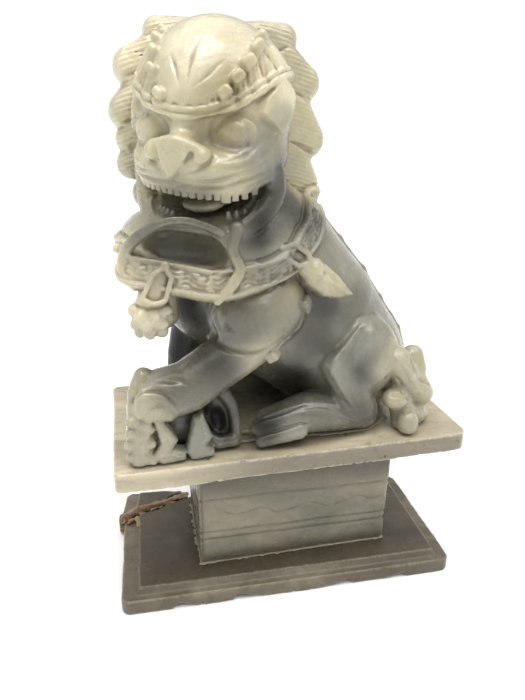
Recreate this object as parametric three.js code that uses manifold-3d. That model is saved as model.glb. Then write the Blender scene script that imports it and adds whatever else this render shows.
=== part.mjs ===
// A carved soapstone guardian lion with its left fore paw on a cub. It sits across a thin top slab,
// which a solid pedestal block carries on a moulded base plate. Every joint is a thin bed of glue.
// Millimetres, +Z up. X runs along the slab, the lion faces -X and turns its head towards -Y, and the
// origin is on the table, under the middle of the base plate.

import * as THREE from 'three';
import { ConvexGeometry } from 'three/addons/geometries/ConvexGeometry.js';
import { mergeVertices } from 'three/addons/utils/BufferGeometryUtils.js';
import Module from 'manifold-3d';

const wasm = await Module();
wasm.setup();

// Driving dimensions
const HEIGHT = 250;
const GAP = 0.3;
const GLUE = 0.6;

const PLATE_LENGTH = 165;
const PLATE_WIDTH = 75.2;
const PLATE_EDGE = 7.5;
const PLATE_TOP = 11.4;
const PLATE_BORDER = 1.8;
const COVE_RUN = 3.6;
const COVE_STEPS = 4;
const PLATE_CORNER = 2.2;
const PLATE_SEAT = { turn: -2.6, x: 0.3, y: -4.5 };
const SCOOP_DEPTH = 3;
const SCOOP_REACH = 9;

const BLOCK_LENGTH = 95.7;
const BLOCK_WIDTH = 49.3;
const BLOCK_CHAMFER = 1;
const BLOCK_SEAT = { turn: -1.2, x: 3.2, y: -2.3 };
const BAND_LEVELS = [25.2, 29.6];
const FRIEZE_LEVEL = 48.2;
const WAVE_LEVEL = 39.6;
const WAVE_SWING = 1.9;
const GROOVE = 0.9;

const SLAB_LENGTH = 163;
const SLAB_WIDTH = 87.4;
const SLAB_THICKNESS = 9;
const SLAB_BOTTOM = 70.9;
const SLAB_CHAMFER = 0.8;

const blockBottom = PLATE_TOP + GLUE + 2 * GAP;
const blockTop = SLAB_BOTTOM - GLUE - 2 * GAP;
const slabTop = SLAB_BOTTOM + SLAB_THICKNESS;
const lionBottom = slabTop + GLUE + 2 * GAP;

// Materials
function stone(colour, roughness) {
  return new THREE.MeshStandardMaterial({ color: colour, roughness, metalness: 0 });
}
const plateStone = stone(0x77736a, 0.45);
const blockStone = stone(0x96978a, 0.4);
const slabStone = stone(0xbab6a2, 0.38);
const lionStone = stone(0xa5a794, 0.3);
const oldGlue = stone(0xa98f6c, 0.6);

// Solids
function toSolid(geometry) {
  const bare = geometry.clone();
  bare.deleteAttribute('normal');
  bare.deleteAttribute('uv');
  const merged = mergeVertices(bare, 1e-4);
  return new wasm.Manifold(new wasm.Mesh({
    numProp: 3,
    vertProperties: new Float32Array(merged.attributes.position.array),
    triVerts: new Uint32Array(merged.index.array),
  }));
}

function joinAll(solids) {
  return solids.reduce((whole, next) => whole.add(next));
}

function cutAll(solid, tools) {
  return tools.reduce((left, tool) => left.subtract(tool), solid);
}

function hull(points) {
  return toSolid(new ConvexGeometry(points.map((p) => new THREE.Vector3(...p))));
}

function block(low, high) {
  const geometry = new THREE.BoxGeometry(high[0] - low[0], high[1] - low[1], high[2] - low[2]);
  geometry.translate((low[0] + high[0]) / 2, (low[1] + high[1]) / 2, (low[2] + high[2]) / 2);
  return toSolid(geometry);
}

// A box centred on the axis with all its vertical edges cut off by chamfer.
function plateLayer(length, width, bottom, top, chamfer, shrink = 0) {
  const points = [];
  for (const [z, inset] of [[bottom, 0], [top, shrink]]) {
    const x = length / 2 - inset;
    const y = width / 2 - inset;
    for (const sx of [-1, 1]) {
      for (const sy of [-1, 1]) {
        points.push([sx * (x - chamfer), sy * y, z], [sx * x, sy * (y - chamfer), z]);
      }
    }
  }
  return hull(points);
}

function egg(centre, radii, turn = [0, 0, 0]) {
  const geometry = new THREE.SphereGeometry(1, 16, 9);
  geometry.scale(...radii);
  geometry.applyMatrix4(new THREE.Matrix4().makeRotationFromEuler(new THREE.Euler(...turn, 'ZYX')));
  geometry.translate(...centre);
  return toSolid(geometry);
}

function ballPoints(centre, radius, flat) {
  const geometry = new THREE.IcosahedronGeometry(radius, 1);
  geometry.scale(1, flat, 1);
  geometry.translate(...centre);
  const { array } = geometry.attributes.position;
  const points = [];
  for (let i = 0; i < array.length; i += 3) {
    points.push([array[i], array[i + 1], array[i + 2]]);
  }
  return points;
}

// A tapered limb through points; flat is its depth along Y as a share of its height.
function limb(points, radii, flat = 1) {
  const pieces = [];
  for (let i = 0; i + 1 < points.length; i += 1) {
    pieces.push(hull([
      ...ballPoints(points[i], radii[i], flat),
      ...ballPoints(points[i + 1], radii[i + 1], flat),
    ]));
  }
  return joinAll(pieces);
}

function slabOf(outline, bottom, top) {
  const curve = new THREE.CatmullRomCurve3(outline.map(([x, y]) => new THREE.Vector3(x, y, 0)), true);
  const shape = new THREE.Shape(curve.getPoints(outline.length * 3).slice(0, -1)
    .map((p) => new THREE.Vector2(p.x, p.y)));
  const geometry = new THREE.ExtrudeGeometry(shape, { depth: top - bottom, bevelEnabled: false });
  geometry.translate(0, 0, bottom);
  return toSolid(geometry);
}

const model = new THREE.Group();

function place(name, solid, material) {
  const { vertProperties, triVerts } = solid.getMesh();
  const geometry = new THREE.BufferGeometry();
  geometry.setAttribute('position', new THREE.BufferAttribute(new Float32Array(vertProperties), 3));
  geometry.setIndex(new THREE.BufferAttribute(new Uint32Array(triVerts), 1));
  geometry.computeVertexNormals();
  const mesh = new THREE.Mesh(geometry, material);
  mesh.name = name;
  model.add(mesh);
}

// Base plate: a flat border, a cove up to the raised panel, and scoops cut in the foot of each edge
function basePlate() {
  const layers = [plateLayer(PLATE_LENGTH, PLATE_WIDTH, 0, PLATE_EDGE, PLATE_CORNER)];
  for (let i = 0; i < COVE_STEPS; i += 1) {
    const [a, b] = [i, i + 1].map((k) => (k / COVE_STEPS) * (Math.PI / 2));
    const rise = (angle) => PLATE_EDGE + (PLATE_TOP - PLATE_EDGE) * (1 - Math.cos(angle));
    const inset = (angle) => PLATE_BORDER + COVE_RUN * Math.sin(angle);
    const low = i === 0 ? PLATE_EDGE - 1 : rise(a);
    layers.push(plateLayer(
      PLATE_LENGTH - 2 * inset(a), PLATE_WIDTH - 2 * inset(a),
      low, rise(b), 0.5, inset(b) - inset(a),
    ));
  }
  return cutAll(joinAll(layers), [...scoops(false), ...scoops(true)]);
}

// Scoops that are steep on their outer side, in pairs about a small notch at the middle
function scoops(across) {
  const half = (across ? PLATE_LENGTH : PLATE_WIDTH) / 2;
  const spans = across ? [[8, 22]] : [[11, 30], [43, 59]];
  const outlines = [[[-1.8, -1], [0, 2], [1.8, -1]]];
  for (const [inner, outer] of spans) {
    for (const side of [-1, 1]) {
      const along = outer - inner;
      outlines.push([
        [side * inner, -1], [side * inner, 0], [side * (inner + 0.45 * along), 0.45 * SCOOP_DEPTH],
        [side * (inner + 0.75 * along), 0.9 * SCOOP_DEPTH], [side * (outer - 2), SCOOP_DEPTH],
        [side * (outer - 0.5), 0.6 * SCOOP_DEPTH], [side * outer, 0], [side * outer, -1],
      ]);
    }
  }
  return outlines.flatMap((outline) => [-1, 1].map((edge) => {
    const shape = new THREE.Shape(outline.map(([a, b]) => new THREE.Vector2(a, b)));
    const geometry = new THREE.ExtrudeGeometry(shape, { depth: SCOOP_REACH + 5, bevelEnabled: false });
    geometry.rotateX(Math.PI / 2);
    geometry.translate(0, edge > 0 ? half + 5 : SCOOP_REACH - half, 0);
    if (across) {
      geometry.rotateZ(Math.PI / 2);
    }
    return toSolid(geometry);
  }));
}

// The rear left corner of the plate has broken off along a rough line and been glued back on
const breakLine = [[-95, 18], [-84, 20.5], [-75, 23.5], [-66, 25.5], [-57, 30], [-48, 34.5], [-40, 44]];

function beyondBreak(offset) {
  const shifted = breakLine.map(([x, y]) => new THREE.Vector2(x - 0.4 * offset, y + offset));
  const shape = new THREE.Shape([...shifted, new THREE.Vector2(-40, 60), new THREE.Vector2(-95, 60)]);
  const geometry = new THREE.ExtrudeGeometry(shape, { depth: 40, bevelEnabled: false });
  geometry.translate(0, 0, -10);
  return toSolid(geometry);
}

// Turns a solid about Z and slides it to where it was set when the stand was glued up
function seated(solid, seat) {
  return solid.rotate([0, 0, seat.turn]).translate([seat.x, seat.y, 0]);
}

const wholePlate = basePlate();
const platePieces = {
  base_plate: [wholePlate.subtract(beyondBreak(0)), plateStone],
  base_plate_corner: [wholePlate.intersect(beyondBreak(2 * GAP + 1)), plateStone],
  break_filler: [
    wholePlate.intersect(beyondBreak(GAP)).subtract(beyondBreak(GAP + 1)), oldGlue,
  ],
};
for (const [name, [solid, material]] of Object.entries(platePieces)) {
  place(name, seated(solid, PLATE_SEAT), material);
}

// Glue beds under and over the pedestal block, each a little wider than the block
function glueBed(length, width, bottom) {
  return seated(plateLayer(length, width, bottom, bottom + GLUE, 2), BLOCK_SEAT);
}
place('lower_glue_bed', glueBed(BLOCK_LENGTH + 0.8, BLOCK_WIDTH + 0.8, PLATE_TOP + GAP), oldGlue);
place('upper_glue_bed', glueBed(BLOCK_LENGTH + 0.6, BLOCK_WIDTH + 0.6, blockTop + GAP), oldGlue);

// Pedestal block: a frieze groove, a wavy line below it and two grooves that frame a low band
function grooveRing(level) {
  const outside = plateLayer(
    BLOCK_LENGTH + 4, BLOCK_WIDTH + 4, level - GROOVE / 2, level + GROOVE / 2, 1,
  );
  const core = plateLayer(
    BLOCK_LENGTH - 2 * GROOVE, BLOCK_WIDTH - 2 * GROOVE, level - 2, level + 2, BLOCK_CHAMFER,
  );
  return outside.subtract(core);
}

function waveGroove(length, place3d) {
  const points = [];
  const waves = 2 * Math.round(length / 40);
  for (let i = 0; i <= waves * 3; i += 1) {
    const t = i / (waves * 3);
    const z = WAVE_LEVEL + WAVE_SWING * Math.cos(t * waves * Math.PI);
    points.push(place3d((t - 0.5) * length * 0.92, z));
  }
  const path = new THREE.CatmullRomCurve3(points);
  const half = GROOVE / 2;
  const section = new THREE.Shape([[half, 0], [0, half], [-half, 0], [0, -half]]
    .map(([a, b]) => new THREE.Vector2(a, b)));
  const geometry = new THREE.ExtrudeGeometry(section, {
    steps: waves * 6, bevelEnabled: false, extrudePath: path,
  });
  return toSolid(geometry);
}

function pedestalBlock() {
  const body = plateLayer(BLOCK_LENGTH, BLOCK_WIDTH, blockBottom, blockTop, BLOCK_CHAMFER);
  const tools = [...BAND_LEVELS, FRIEZE_LEVEL].map(grooveRing);
  for (const side of [-1, 1]) {
    const y = (side * BLOCK_WIDTH) / 2;
    const x = (side * BLOCK_LENGTH) / 2;
    tools.push(waveGroove(BLOCK_LENGTH, (along, z) => new THREE.Vector3(along, y, z)));
    tools.push(waveGroove(BLOCK_WIDTH, (along, z) => new THREE.Vector3(x, along, z)));
  }
  return cutAll(body, tools);
}
place('pedestal_block', seated(pedestalBlock(), BLOCK_SEAT), blockStone);

// Top slab, with worn edges and a chip off its front right corner
function topSlab() {
  const middle = plateLayer(
    SLAB_LENGTH, SLAB_WIDTH, SLAB_BOTTOM + SLAB_CHAMFER, slabTop - SLAB_CHAMFER, SLAB_CHAMFER,
  );
  const upper = plateLayer(
    SLAB_LENGTH, SLAB_WIDTH, slabTop - SLAB_CHAMFER - 0.2, slabTop, SLAB_CHAMFER, SLAB_CHAMFER,
  );
  const lower = plateLayer(
    SLAB_LENGTH - 2 * SLAB_CHAMFER, SLAB_WIDTH - 2 * SLAB_CHAMFER,
    SLAB_BOTTOM, slabTop - SLAB_CHAMFER, SLAB_CHAMFER, 0,
  );
  const corner = [SLAB_LENGTH / 2, -SLAB_WIDTH / 2];
  const chip = hull([
    [corner[0] - 4, corner[1] - 1, slabTop + 1], [corner[0] + 1, corner[1] + 5, slabTop + 1],
    [corner[0] + 1, corner[1] - 1, slabTop + 1], [corner[0] + 1, corner[1] - 1, slabTop - 6],
  ]);
  return joinAll([middle, upper, lower]).subtract(chip);
}
place('top_slab', topSlab(), slabStone);

// The lion's footing: the outline of the stone that stands on the slab
const footing = [
  [-68, -34], [-48, -35], [-30, -31], [-8, -30], [18, -33], [38, -33], [52, -22],
  [57, 2], [50, 26], [30, 34], [0, 34], [-34, 28], [-60, 20], [-66, -6],
];
place(
  'lion_glue_bed',
  slabOf(footing.map(([x, y]) => [0.95 * x, 0.95 * y]), slabTop + GAP, slabTop + GAP + GLUE),
  oldGlue,
);

// Lion
const HEAD = new THREE.Vector3(-31, -10, 212);
const headTurn = new THREE.Matrix4().makeRotationFromEuler(
  new THREE.Euler(THREE.MathUtils.degToRad(8), 0, THREE.MathUtils.degToRad(-31), 'ZYX'),
);

// A point given from the middle of the head: side is the viewer's right, then front, then up.
function onHead(side, front, up) {
  return new THREE.Vector3(side, -front, up).applyMatrix4(headTurn).add(HEAD).toArray();
}

function headEgg(centre, radii) {
  return egg(onHead(...centre), radii, [
    THREE.MathUtils.degToRad(8), 0, THREE.MathUtils.degToRad(-31),
  ]);
}

function headLimb(points, radii) {
  return limb(points.map((p) => onHead(...p)), radii);
}

function trunk() {
  return [
    limb([[-14, 1, 157], [11, 1, 128], [30, 2, 107]], [37, 37, 33], 0.82),
    egg([42, 2, 102], [20, 25, 21]),
    egg([-28, -1, 146], [28, 27, 28]),
    egg([-31, -4, 167], [39, 35, 21]),
    limb([[-24, 2, 172], [-29, -6, 196]], [30, 27]),
    egg([-14, 24, 100], [26, 9, 22]),
    slabOf(footing, lionBottom, lionBottom + 3),
  ];
}

function foreLegs() {
  return [
    egg([-20, 22, 142], [22, 16, 20]),
    limb([[-34, 14, 136], [-41, 15, 108], [-43, 15, 92]], [14, 12.5, 12]),
    egg([-50, 15, 88], [15, 12, 9]),
    egg([-17, -21, 142], [22.5, 20, 20]),
    limb([[-19, -27, 131], [-33, -29, 121], [-50, -31, 112]], [13, 12, 12]),
    egg([-59, -30, 112], [14.5, 13, 12]),
  ];
}

function hindLegs(y, out) {
  return [
    egg([33, y, 112], [20, 16, 23]),
    limb([[31, y + 4 * out, 126], [19, y + 8 * out, 115], [30, y + 9 * out, 96]], [9, 9, 10]),
    limb([[32, y + 8 * out, 91], [6, y + 7 * out, 92], [-14, y + 8 * out, 89]], [10, 10, 8]),
  ];
}

function cub() {
  return [
    egg([-52, -20, 92], [17, 12, 14]),
    limb([[-69, -31, 102], [-70, -33, 88], [-69, -33, 86]], [6, 6, 6]),
    limb([[-60, -33, 102], [-60, -34, 92], [-57, -34, 86]], [4.5, 4.5, 5.5]),
    limb([[-44, -33, 100], [-46, -33, 91], [-44, -33, 86]], [4.5, 4.5, 5.5]),
    limb([[-31, -27, 102], [-29, -29, 87]], [4.5, 5]),
  ];
}

function tail() {
  return [
    egg([48, -27, 113], [11, 9, 9]),
    egg([58, -27, 101], [9, 9, 11]),
    egg([46, -31, 97], [7.5, 6.5, 6]),
    limb([[50, -26, 100], [51, -31, 88]], [7, 6]),
    egg([51, -33, 86], [6, 6, 5]),
    limb([[52, -29, 88], [62, -26, 86]], [4.5, 4.5]),
  ];
}

function mane() {
  const fan = egg([-26, 7, 213], [41, 13, 38]);
  const lobes = [
    [[-18, 7, 236], [0, 7, 245], 9, 7.5], [[-8, 7, 222], [8, 7, 229], 14, 10.5],
    [[-8, 7, 208], [10, 7, 208], 14, 11], [[-8, 7, 194], [9, 7, 190], 13, 11],
    [[-34, 7, 238], [-50, 7, 245], 8, 7], [[-48, 7, 228], [-60, 7, 231], 10, 9],
    [[-50, 7, 214], [-64, 7, 216], 9, 8], [[-52, 7, 200], [-63, 7, 201], 9, 8],
  ];
  return [fan, ...lobes.map(([root, tip, thick, thin]) => limb([root, tip], [thick, thin], 1.15))];
}

function skull() {
  const parts = [
    headEgg([0, 0, 7], [32, 31.5, 32]),
    headEgg([0, 8, -8], [31, 27, 17]),
    headEgg([0, 19, -7], [25, 20, 11]),
    headLimb([[0, 24, 4], [0, 33, -4]], [7, 5.5]),
  ];
  for (const side of [-1, 1]) {
    parts.push(headEgg([15.5 * side, 24, 2.5], [8, 6.5, 6]));
    parts.push(headEgg([7 * side, 33, -3], [6.5, 5, 4.5]));
    parts.push(headLimb([[28 * side, 2, 14], [28 * side, 4, 1]], [5, 3]));
  }
  return parts;
}

const jawLine = [
  [-26, 8, -16], [-21, 22, -25], [-14, 31, -30], [0, 35, -27], [14, 31, -31], [21, 20, -27], [26, 8, -16],
];

function collarAndBells() {
  const rim = [];
  const rimPoints = 14;
  for (let i = 0; i <= rimPoints; i += 1) {
    const a = (i / rimPoints) * 2 * Math.PI;
    rim.push([-31 + 40 * Math.cos(a), -4 + 36 * Math.sin(a), 164 + 9 * Math.cos(a - 0.6)]);
  }
  return [
    limb(rim, rim.map(() => 4.5)),
    limb([[-60, -34, 160], [-62, -36, 147]], [6, 8]),
    limb([[-4, -34, 164], [3, -35, 157], [15, -33, 151]], [5, 6.5, 3]),
    headLimb([[-14, 31, -30], [-20, 25, -44], [-20, 20, -56]], [3.5, 3.5, 3.5]),
    headLimb([[14, 30, -31], [13, 27, -44], [5, 31, -56]], [3.5, 3.5, 3.5]),
  ];
}

function lion() {
  const mouth = [headEgg([0, 24, -21], [19, 24, 5.5])];
  const head = cutAll(joinAll([...skull(), headEgg([0, 10, -24], [22, 22, 9])]), mouth);
  const jaw = headLimb(jawLine, jawLine.map(() => 3.8));
  const body = joinAll([
    ...trunk(), ...foreLegs(), ...hindLegs(-20, -1), ...hindLegs(22, 1), ...cub(), ...tail(),
    ...mane(), ...collarAndBells(), head, jaw,
  ]);
  const underside = block([-100, -100, slabTop - 60], [100, 100, lionBottom]);
  const faceLimit = block([-100, -100, lionBottom], [100, -SLAB_WIDTH / 2, HEIGHT + 20]);
  const crownLimit = block([-100, -100, HEIGHT], [100, 100, HEIGHT + 20]);
  return cutAll(body, [underside, faceLimit, crownLimit]);
}
place('lion', lion(), lionStone);

export default model;
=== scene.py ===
"""A carved soapstone guardian lion, its paw on a cub, on a glued stone stand.

Each stone is carved as a field of signed distances on a grid, the way a carver works: masses are
roughed out and joined, hollows are cut, and the surface is engraved. The field then becomes a mesh.
Carving is in millimetres and the scene in metres. X runs along the slab, the lion faces -X and
turns its head towards -Y, where the viewer stands, and +Z is up.
"""

import bpy
import numpy as np
from mathutils import Matrix, Vector


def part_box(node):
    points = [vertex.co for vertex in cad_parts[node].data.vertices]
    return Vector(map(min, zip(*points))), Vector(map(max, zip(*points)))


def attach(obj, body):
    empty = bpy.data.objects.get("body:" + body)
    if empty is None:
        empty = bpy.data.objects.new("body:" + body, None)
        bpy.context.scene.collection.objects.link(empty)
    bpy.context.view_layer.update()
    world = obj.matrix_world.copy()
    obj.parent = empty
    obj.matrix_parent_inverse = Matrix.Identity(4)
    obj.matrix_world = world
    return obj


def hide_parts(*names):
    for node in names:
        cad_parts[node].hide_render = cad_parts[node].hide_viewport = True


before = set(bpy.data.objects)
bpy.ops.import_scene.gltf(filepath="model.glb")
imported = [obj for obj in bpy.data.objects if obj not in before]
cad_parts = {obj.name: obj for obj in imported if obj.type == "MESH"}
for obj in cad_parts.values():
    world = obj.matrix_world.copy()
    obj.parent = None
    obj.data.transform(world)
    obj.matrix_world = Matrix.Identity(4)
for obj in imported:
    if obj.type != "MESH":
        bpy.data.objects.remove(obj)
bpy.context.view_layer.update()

MM = 0.001
REACH = 8.0                                    # distances are kept up to this far from a surface
LION_STEP = 0.5         # grid steps
STAND_STEP = 0.5


def mm_box(node):
    """A CAD node's lowest and highest corners in millimetres."""
    low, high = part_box(node)
    return np.array(low) / MM, np.array(high) / MM


# Carving

def fade(share):
    """A smooth step of a share that is held between 0 and 1."""
    share = np.clip(share, 0, 1)
    return share * share * (3 - 2 * share)


def smooth_min(a, b, blend):
    """The smaller of two distances, rounded over where they meet."""
    joined = np.minimum(a, b)
    if blend:
        joined = joined - np.maximum(blend - abs(a - b), 0) ** 2 / (4 * blend)
    return joined


class Stone:
    """Stone as signed distances on a grid; negative is inside."""

    def __init__(self, low, high, step):
        self.low = np.array(low, float)
        self.step = step
        count = np.ceil((np.array(high, float) - self.low) / step).astype(int) + 1
        self.field = np.full(count, REACH, np.float32)

    def blank(self):
        """Empty air on the same grid."""
        high = self.low + self.step * (np.array(self.field.shape) - 1.5)
        return Stone(self.low, high, self.step)

    def merge(self, other, blend):
        self.field = np.clip(smooth_min(self.field, other.field, blend), -REACH, REACH)

    def window(self, low, high):
        """The grid cells between two corners, with their x, y and z."""
        first = np.floor((np.array(low) - self.low) / self.step).astype(int)
        last = np.ceil((np.array(high) - self.low) / self.step).astype(int) + 1
        first = np.clip(first, 0, self.field.shape)
        last = np.clip(last, first, self.field.shape)
        cells = tuple(slice(a, b) for a, b in zip(first, last))
        axes = [
            (self.low[i] + self.step * np.arange(first[i], last[i])).astype(np.float32)
            for i in range(3)
        ]
        return cells, np.ix_(*axes)

    def spread(self, shape, reach):
        """The cells within reach of a shape and their distances from it."""
        cells, at = self.window(shape.low - reach, shape.high + reach)
        if not isinstance(shape, Limb) or len(shape.points) < 4:
            return cells, shape.distance(*at)
        near = np.full([c.stop - c.start for c in cells], reach, np.float32)
        for part in shape.parts():
            inner, at = self.window(part.low - reach, part.high + reach)
            there = tuple(
                slice(i.start - c.start, i.stop - c.start) for i, c in zip(inner, cells)
            )
            near[there] = np.minimum(near[there], part.distance(*at))
        return cells, near

    def add(self, shape, blend=0.0, reach=REACH):
        cells, new = self.spread(shape, reach)
        self.field[cells] = np.clip(smooth_min(self.field[cells], new, blend), -REACH, REACH)

    def cut(self, shape, blend=0.0, reach=REACH):
        cells, near = self.spread(shape, reach)
        self.field[cells] = np.clip(-smooth_min(-self.field[cells], near, blend), -REACH, REACH)

    def swell(self, shape, amount, width):
        """Raises the surface near a shape, fading out over width; a negative amount lowers it."""
        cells, near = self.spread(shape, width)
        self.field[cells] -= amount * fade(1 - np.maximum(near, 0) / width)

    def draw(self, points, width, height, count=12, taper=0.3, snap=True):
        """A ridge along a curve on the surface, or a groove where height is negative."""
        path = curve(points, count)
        if snap:
            path = self.onto(path)
        along = np.linspace(0, 1, count)
        full = np.ones(count)
        if taper:
            full = np.clip(np.minimum(along, 1 - along) / taper, 0, 1)
        shape = Limb(path, width * (0.35 + 0.65 * full))
        cells, near = self.spread(shape, 0.0)
        self.field[cells] -= height * fade(-near / width)
        return path

    def ripple(self, shape, wave, amount, edge):
        """Grooves the surface inside a shape by a wave of x, y and z between 0 and 1."""
        cells, at = self.window(shape.low, shape.high)
        inside = np.clip(-shape.distance(*at) / edge, 0, 1)
        self.field[cells] += amount * inside * wave(*at)

    def weather(self, amount, size, seed):
        """The slight waviness that hand rasping leaves."""
        draw = np.random.default_rng(seed)
        axes = np.ix_(*[
            (self.low[i] + self.step * np.arange(self.field.shape[i])).astype(np.float32)
            for i in range(3)
        ])
        for _ in range(6):
            way = draw.normal(size=3)
            way *= 2 * np.pi / (size * draw.uniform(0.7, 1.6) * np.linalg.norm(way))
            phase = draw.uniform(0, 2 * np.pi)
            turned = (axes[0] * way[0] + phase) + axes[1] * way[1] + axes[2] * way[2]
            self.field += (amount / 2.5 * np.cos(turned)).astype(np.float32)

    def sample(self, points, field=None):
        """The field's value at each point."""
        field = self.field if field is None else field
        g = (np.asarray(points, float) - self.low) / self.step
        g = np.clip(g, 0, np.array(field.shape) - 1.001)
        i = g.astype(int)
        w = g - i
        total = np.zeros(len(g))
        for corner in np.ndindex(2, 2, 2):
            share = np.prod(np.where(corner, w, 1 - w), axis=1)
            total += share * field[tuple((i + corner).T)]
        return total

    def slope(self, points):
        """The way out of the stone at each point."""
        p = np.asarray(points, float)
        rise = [self.sample(p + self.step * a) - self.sample(p - self.step * a) for a in np.eye(3)]
        rise = np.stack(rise, 1)
        return rise / np.maximum(np.linalg.norm(rise, axis=1, keepdims=True), 1e-6)

    def onto(self, points):
        """Moves points to the surface."""
        p = np.array(points, float)
        for _ in range(6):
            p -= self.sample(p)[:, None] * self.slope(p)
        return p

    def bend(self, points, reach):
        """How far the surface bulges at each point, over a reach; negative in a hollow."""
        cells = max(1, round(reach / self.step))
        level = self.field
        for axis in range(3):
            pads = [(cells + 1, cells) if k == axis else (0, 0) for k in range(3)]
            total = np.cumsum(np.pad(level, pads, mode="edge"), axis=axis, dtype=np.float32)
            upper = [slice(None)] * 3
            lower = [slice(None)] * 3
            upper[axis] = slice(2 * cells + 1, None)
            lower[axis] = slice(None, -2 * cells - 1)
            level = (total[tuple(upper)] - total[tuple(lower)]) / (2 * cells + 1)
        return self.sample(points, level) / reach

    def mesh(self):
        """Vertices and quads of the surface, one vertex in each cell that it crosses."""
        f = self.field
        size = np.array(f.shape)
        inside = f < 0
        ids, spots, quads = [], [], []
        for axis in range(3):
            before = tuple(slice(0, -1) if k == axis else slice(None) for k in range(3))
            after = tuple(slice(1, None) if k == axis else slice(None) for k in range(3))
            i = np.argwhere(inside[before] != inside[after])
            others = [k for k in range(3) if k != axis]
            i = i[np.all((i[:, others] > 0) & (i[:, others] < size[others] - 1), axis=1)]
            j = i + np.eye(3, dtype=int)[axis]
            here, there = f[tuple(i.T)], f[tuple(j.T)]
            spot = i.astype(float)
            spot[:, axis] += here / (here - there)
            corners = []
            for du, dv in ((0, 0), (-1, 0), (-1, -1), (0, -1)):
                cell = i.copy()
                cell[:, others[0]] += du
                cell[:, others[1]] += dv
                corners.append(np.ravel_multi_index(tuple(cell.T), tuple(size)))
            corners = np.stack(corners, 1)
            backward = (here < 0) == (axis == 1)
            corners[backward] = corners[backward][:, ::-1]
            ids.append(corners.T.ravel())
            spots.append(np.tile(spot, (4, 1)))
            quads.append(corners)
        unique, where = np.unique(np.concatenate(ids), return_inverse=True)
        spots = np.concatenate(spots)
        number = np.bincount(where)
        verts = np.stack([np.bincount(where, spots[:, k]) / number for k in range(3)], 1)
        return self.low + self.step * verts, np.searchsorted(unique, np.concatenate(quads))


def turn(yaw=0.0, pitch=0.0, roll=0.0):
    """Rotation in degrees: roll about X, then pitch about Y, then yaw about Z."""
    a, b, c = np.radians([yaw, pitch, roll])
    about_z = np.array([[np.cos(a), -np.sin(a), 0], [np.sin(a), np.cos(a), 0], [0, 0, 1]])
    about_y = np.array([[np.cos(b), 0, np.sin(b)], [0, 1, 0], [-np.sin(b), 0, np.cos(b)]])
    about_x = np.array([[1, 0, 0], [0, np.cos(c), -np.sin(c)], [0, np.sin(c), np.cos(c)]])
    return about_z @ about_y @ about_x


class Egg:
    """An ellipsoid of given centre, radii and turn."""

    def __init__(self, centre, radii, axes=None):
        self.centre = np.array(centre, float)
        self.radii = np.array(radii, float)
        self.axes = np.eye(3) if axes is None else np.array(axes, float)
        reach = np.sqrt(((self.axes * self.radii) ** 2).sum(1))
        self.low, self.high = self.centre - reach, self.centre + reach

    def distance(self, x, y, z):
        x, y, z = x - self.centre[0], y - self.centre[1], z - self.centre[2]
        scaled, twice = 0, 0
        for k in range(3):
            d = x * self.axes[0, k] + y * self.axes[1, k] + z * self.axes[2, k]
            scaled = scaled + (d / self.radii[k]) ** 2
            twice = twice + (d / self.radii[k] ** 2) ** 2
        root = np.sqrt(scaled)
        return root * (root - 1) / np.maximum(np.sqrt(twice), 1e-6)


class Limb:
    """A tapered rod through points; flat squeezes its section along a direction, by ratio."""

    def __init__(self, points, radii, flat=None, ratio=1.0):
        self.points = np.array(points, float)
        self.radii = np.broadcast_to(np.array(radii, float), (len(self.points),)).copy()
        self.flat = None if flat is None else np.array(flat, float) / np.linalg.norm(flat)
        self.ratio = ratio
        most = self.radii[:, None] / min(ratio, 1.0)
        self.low = (self.points - most).min(0)
        self.high = (self.points + most).max(0)

    def parts(self):
        for i in range(len(self.points) - 1):
            yield Limb(self.points[i:i + 2], self.radii[i:i + 2], self.flat, self.ratio)

    def distance(self, x, y, z):
        best = np.float32(1e6)
        ends = zip(self.points[:-1], self.points[1:], self.radii[:-1], self.radii[1:])
        for a, b, ra, rb in ends:
            ab = b - a
            px, py, pz = x - a[0], y - a[1], z - a[2]
            t = (px * ab[0] + py * ab[1] + pz * ab[2]) / max(ab @ ab, 1e-9)
            t = np.clip(t, 0, 1)
            qx, qy, qz = px - t * ab[0], py - t * ab[1], pz - t * ab[2]
            if self.flat is not None:
                n = self.flat
                off = (qx * n[0] + qy * n[1] + qz * n[2]) * (self.ratio - 1)
                qx, qy, qz = qx + off * n[0], qy + off * n[1], qz + off * n[2]
            d = np.sqrt(qx * qx + qy * qy + qz * qz) - (ra + t * (rb - ra))
            best = np.minimum(best, d)
        return best


class Form:
    """A shape given by a rule of x, y and z between two corners."""

    def __init__(self, low, high, rule):
        self.low, self.high = np.array(low, float), np.array(high, float)
        self.distance = rule


def outline_distance(outline, u, v):
    """Signed distance from a closed outline in a plane."""
    best, inside = np.float32(1e9), False
    for a, b in zip(outline, np.roll(outline, -1, axis=0)):
        edge = b - a
        pu, pv = u - a[0], v - a[1]
        t = np.clip((pu * edge[0] + pv * edge[1]) / max(edge @ edge, 1e-9), 0, 1)
        best = np.minimum(best, (pu - t * edge[0]) ** 2 + (pv - t * edge[1]) ** 2)
        spans = (a[1] > v) != (b[1] > v)
        rise = edge[1] if edge[1] else 1e-9
        inside = inside ^ (spans & (u < a[0] + edge[0] * (v - a[1]) / rise))
    return np.where(inside, -1, 1) * np.sqrt(best)


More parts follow.
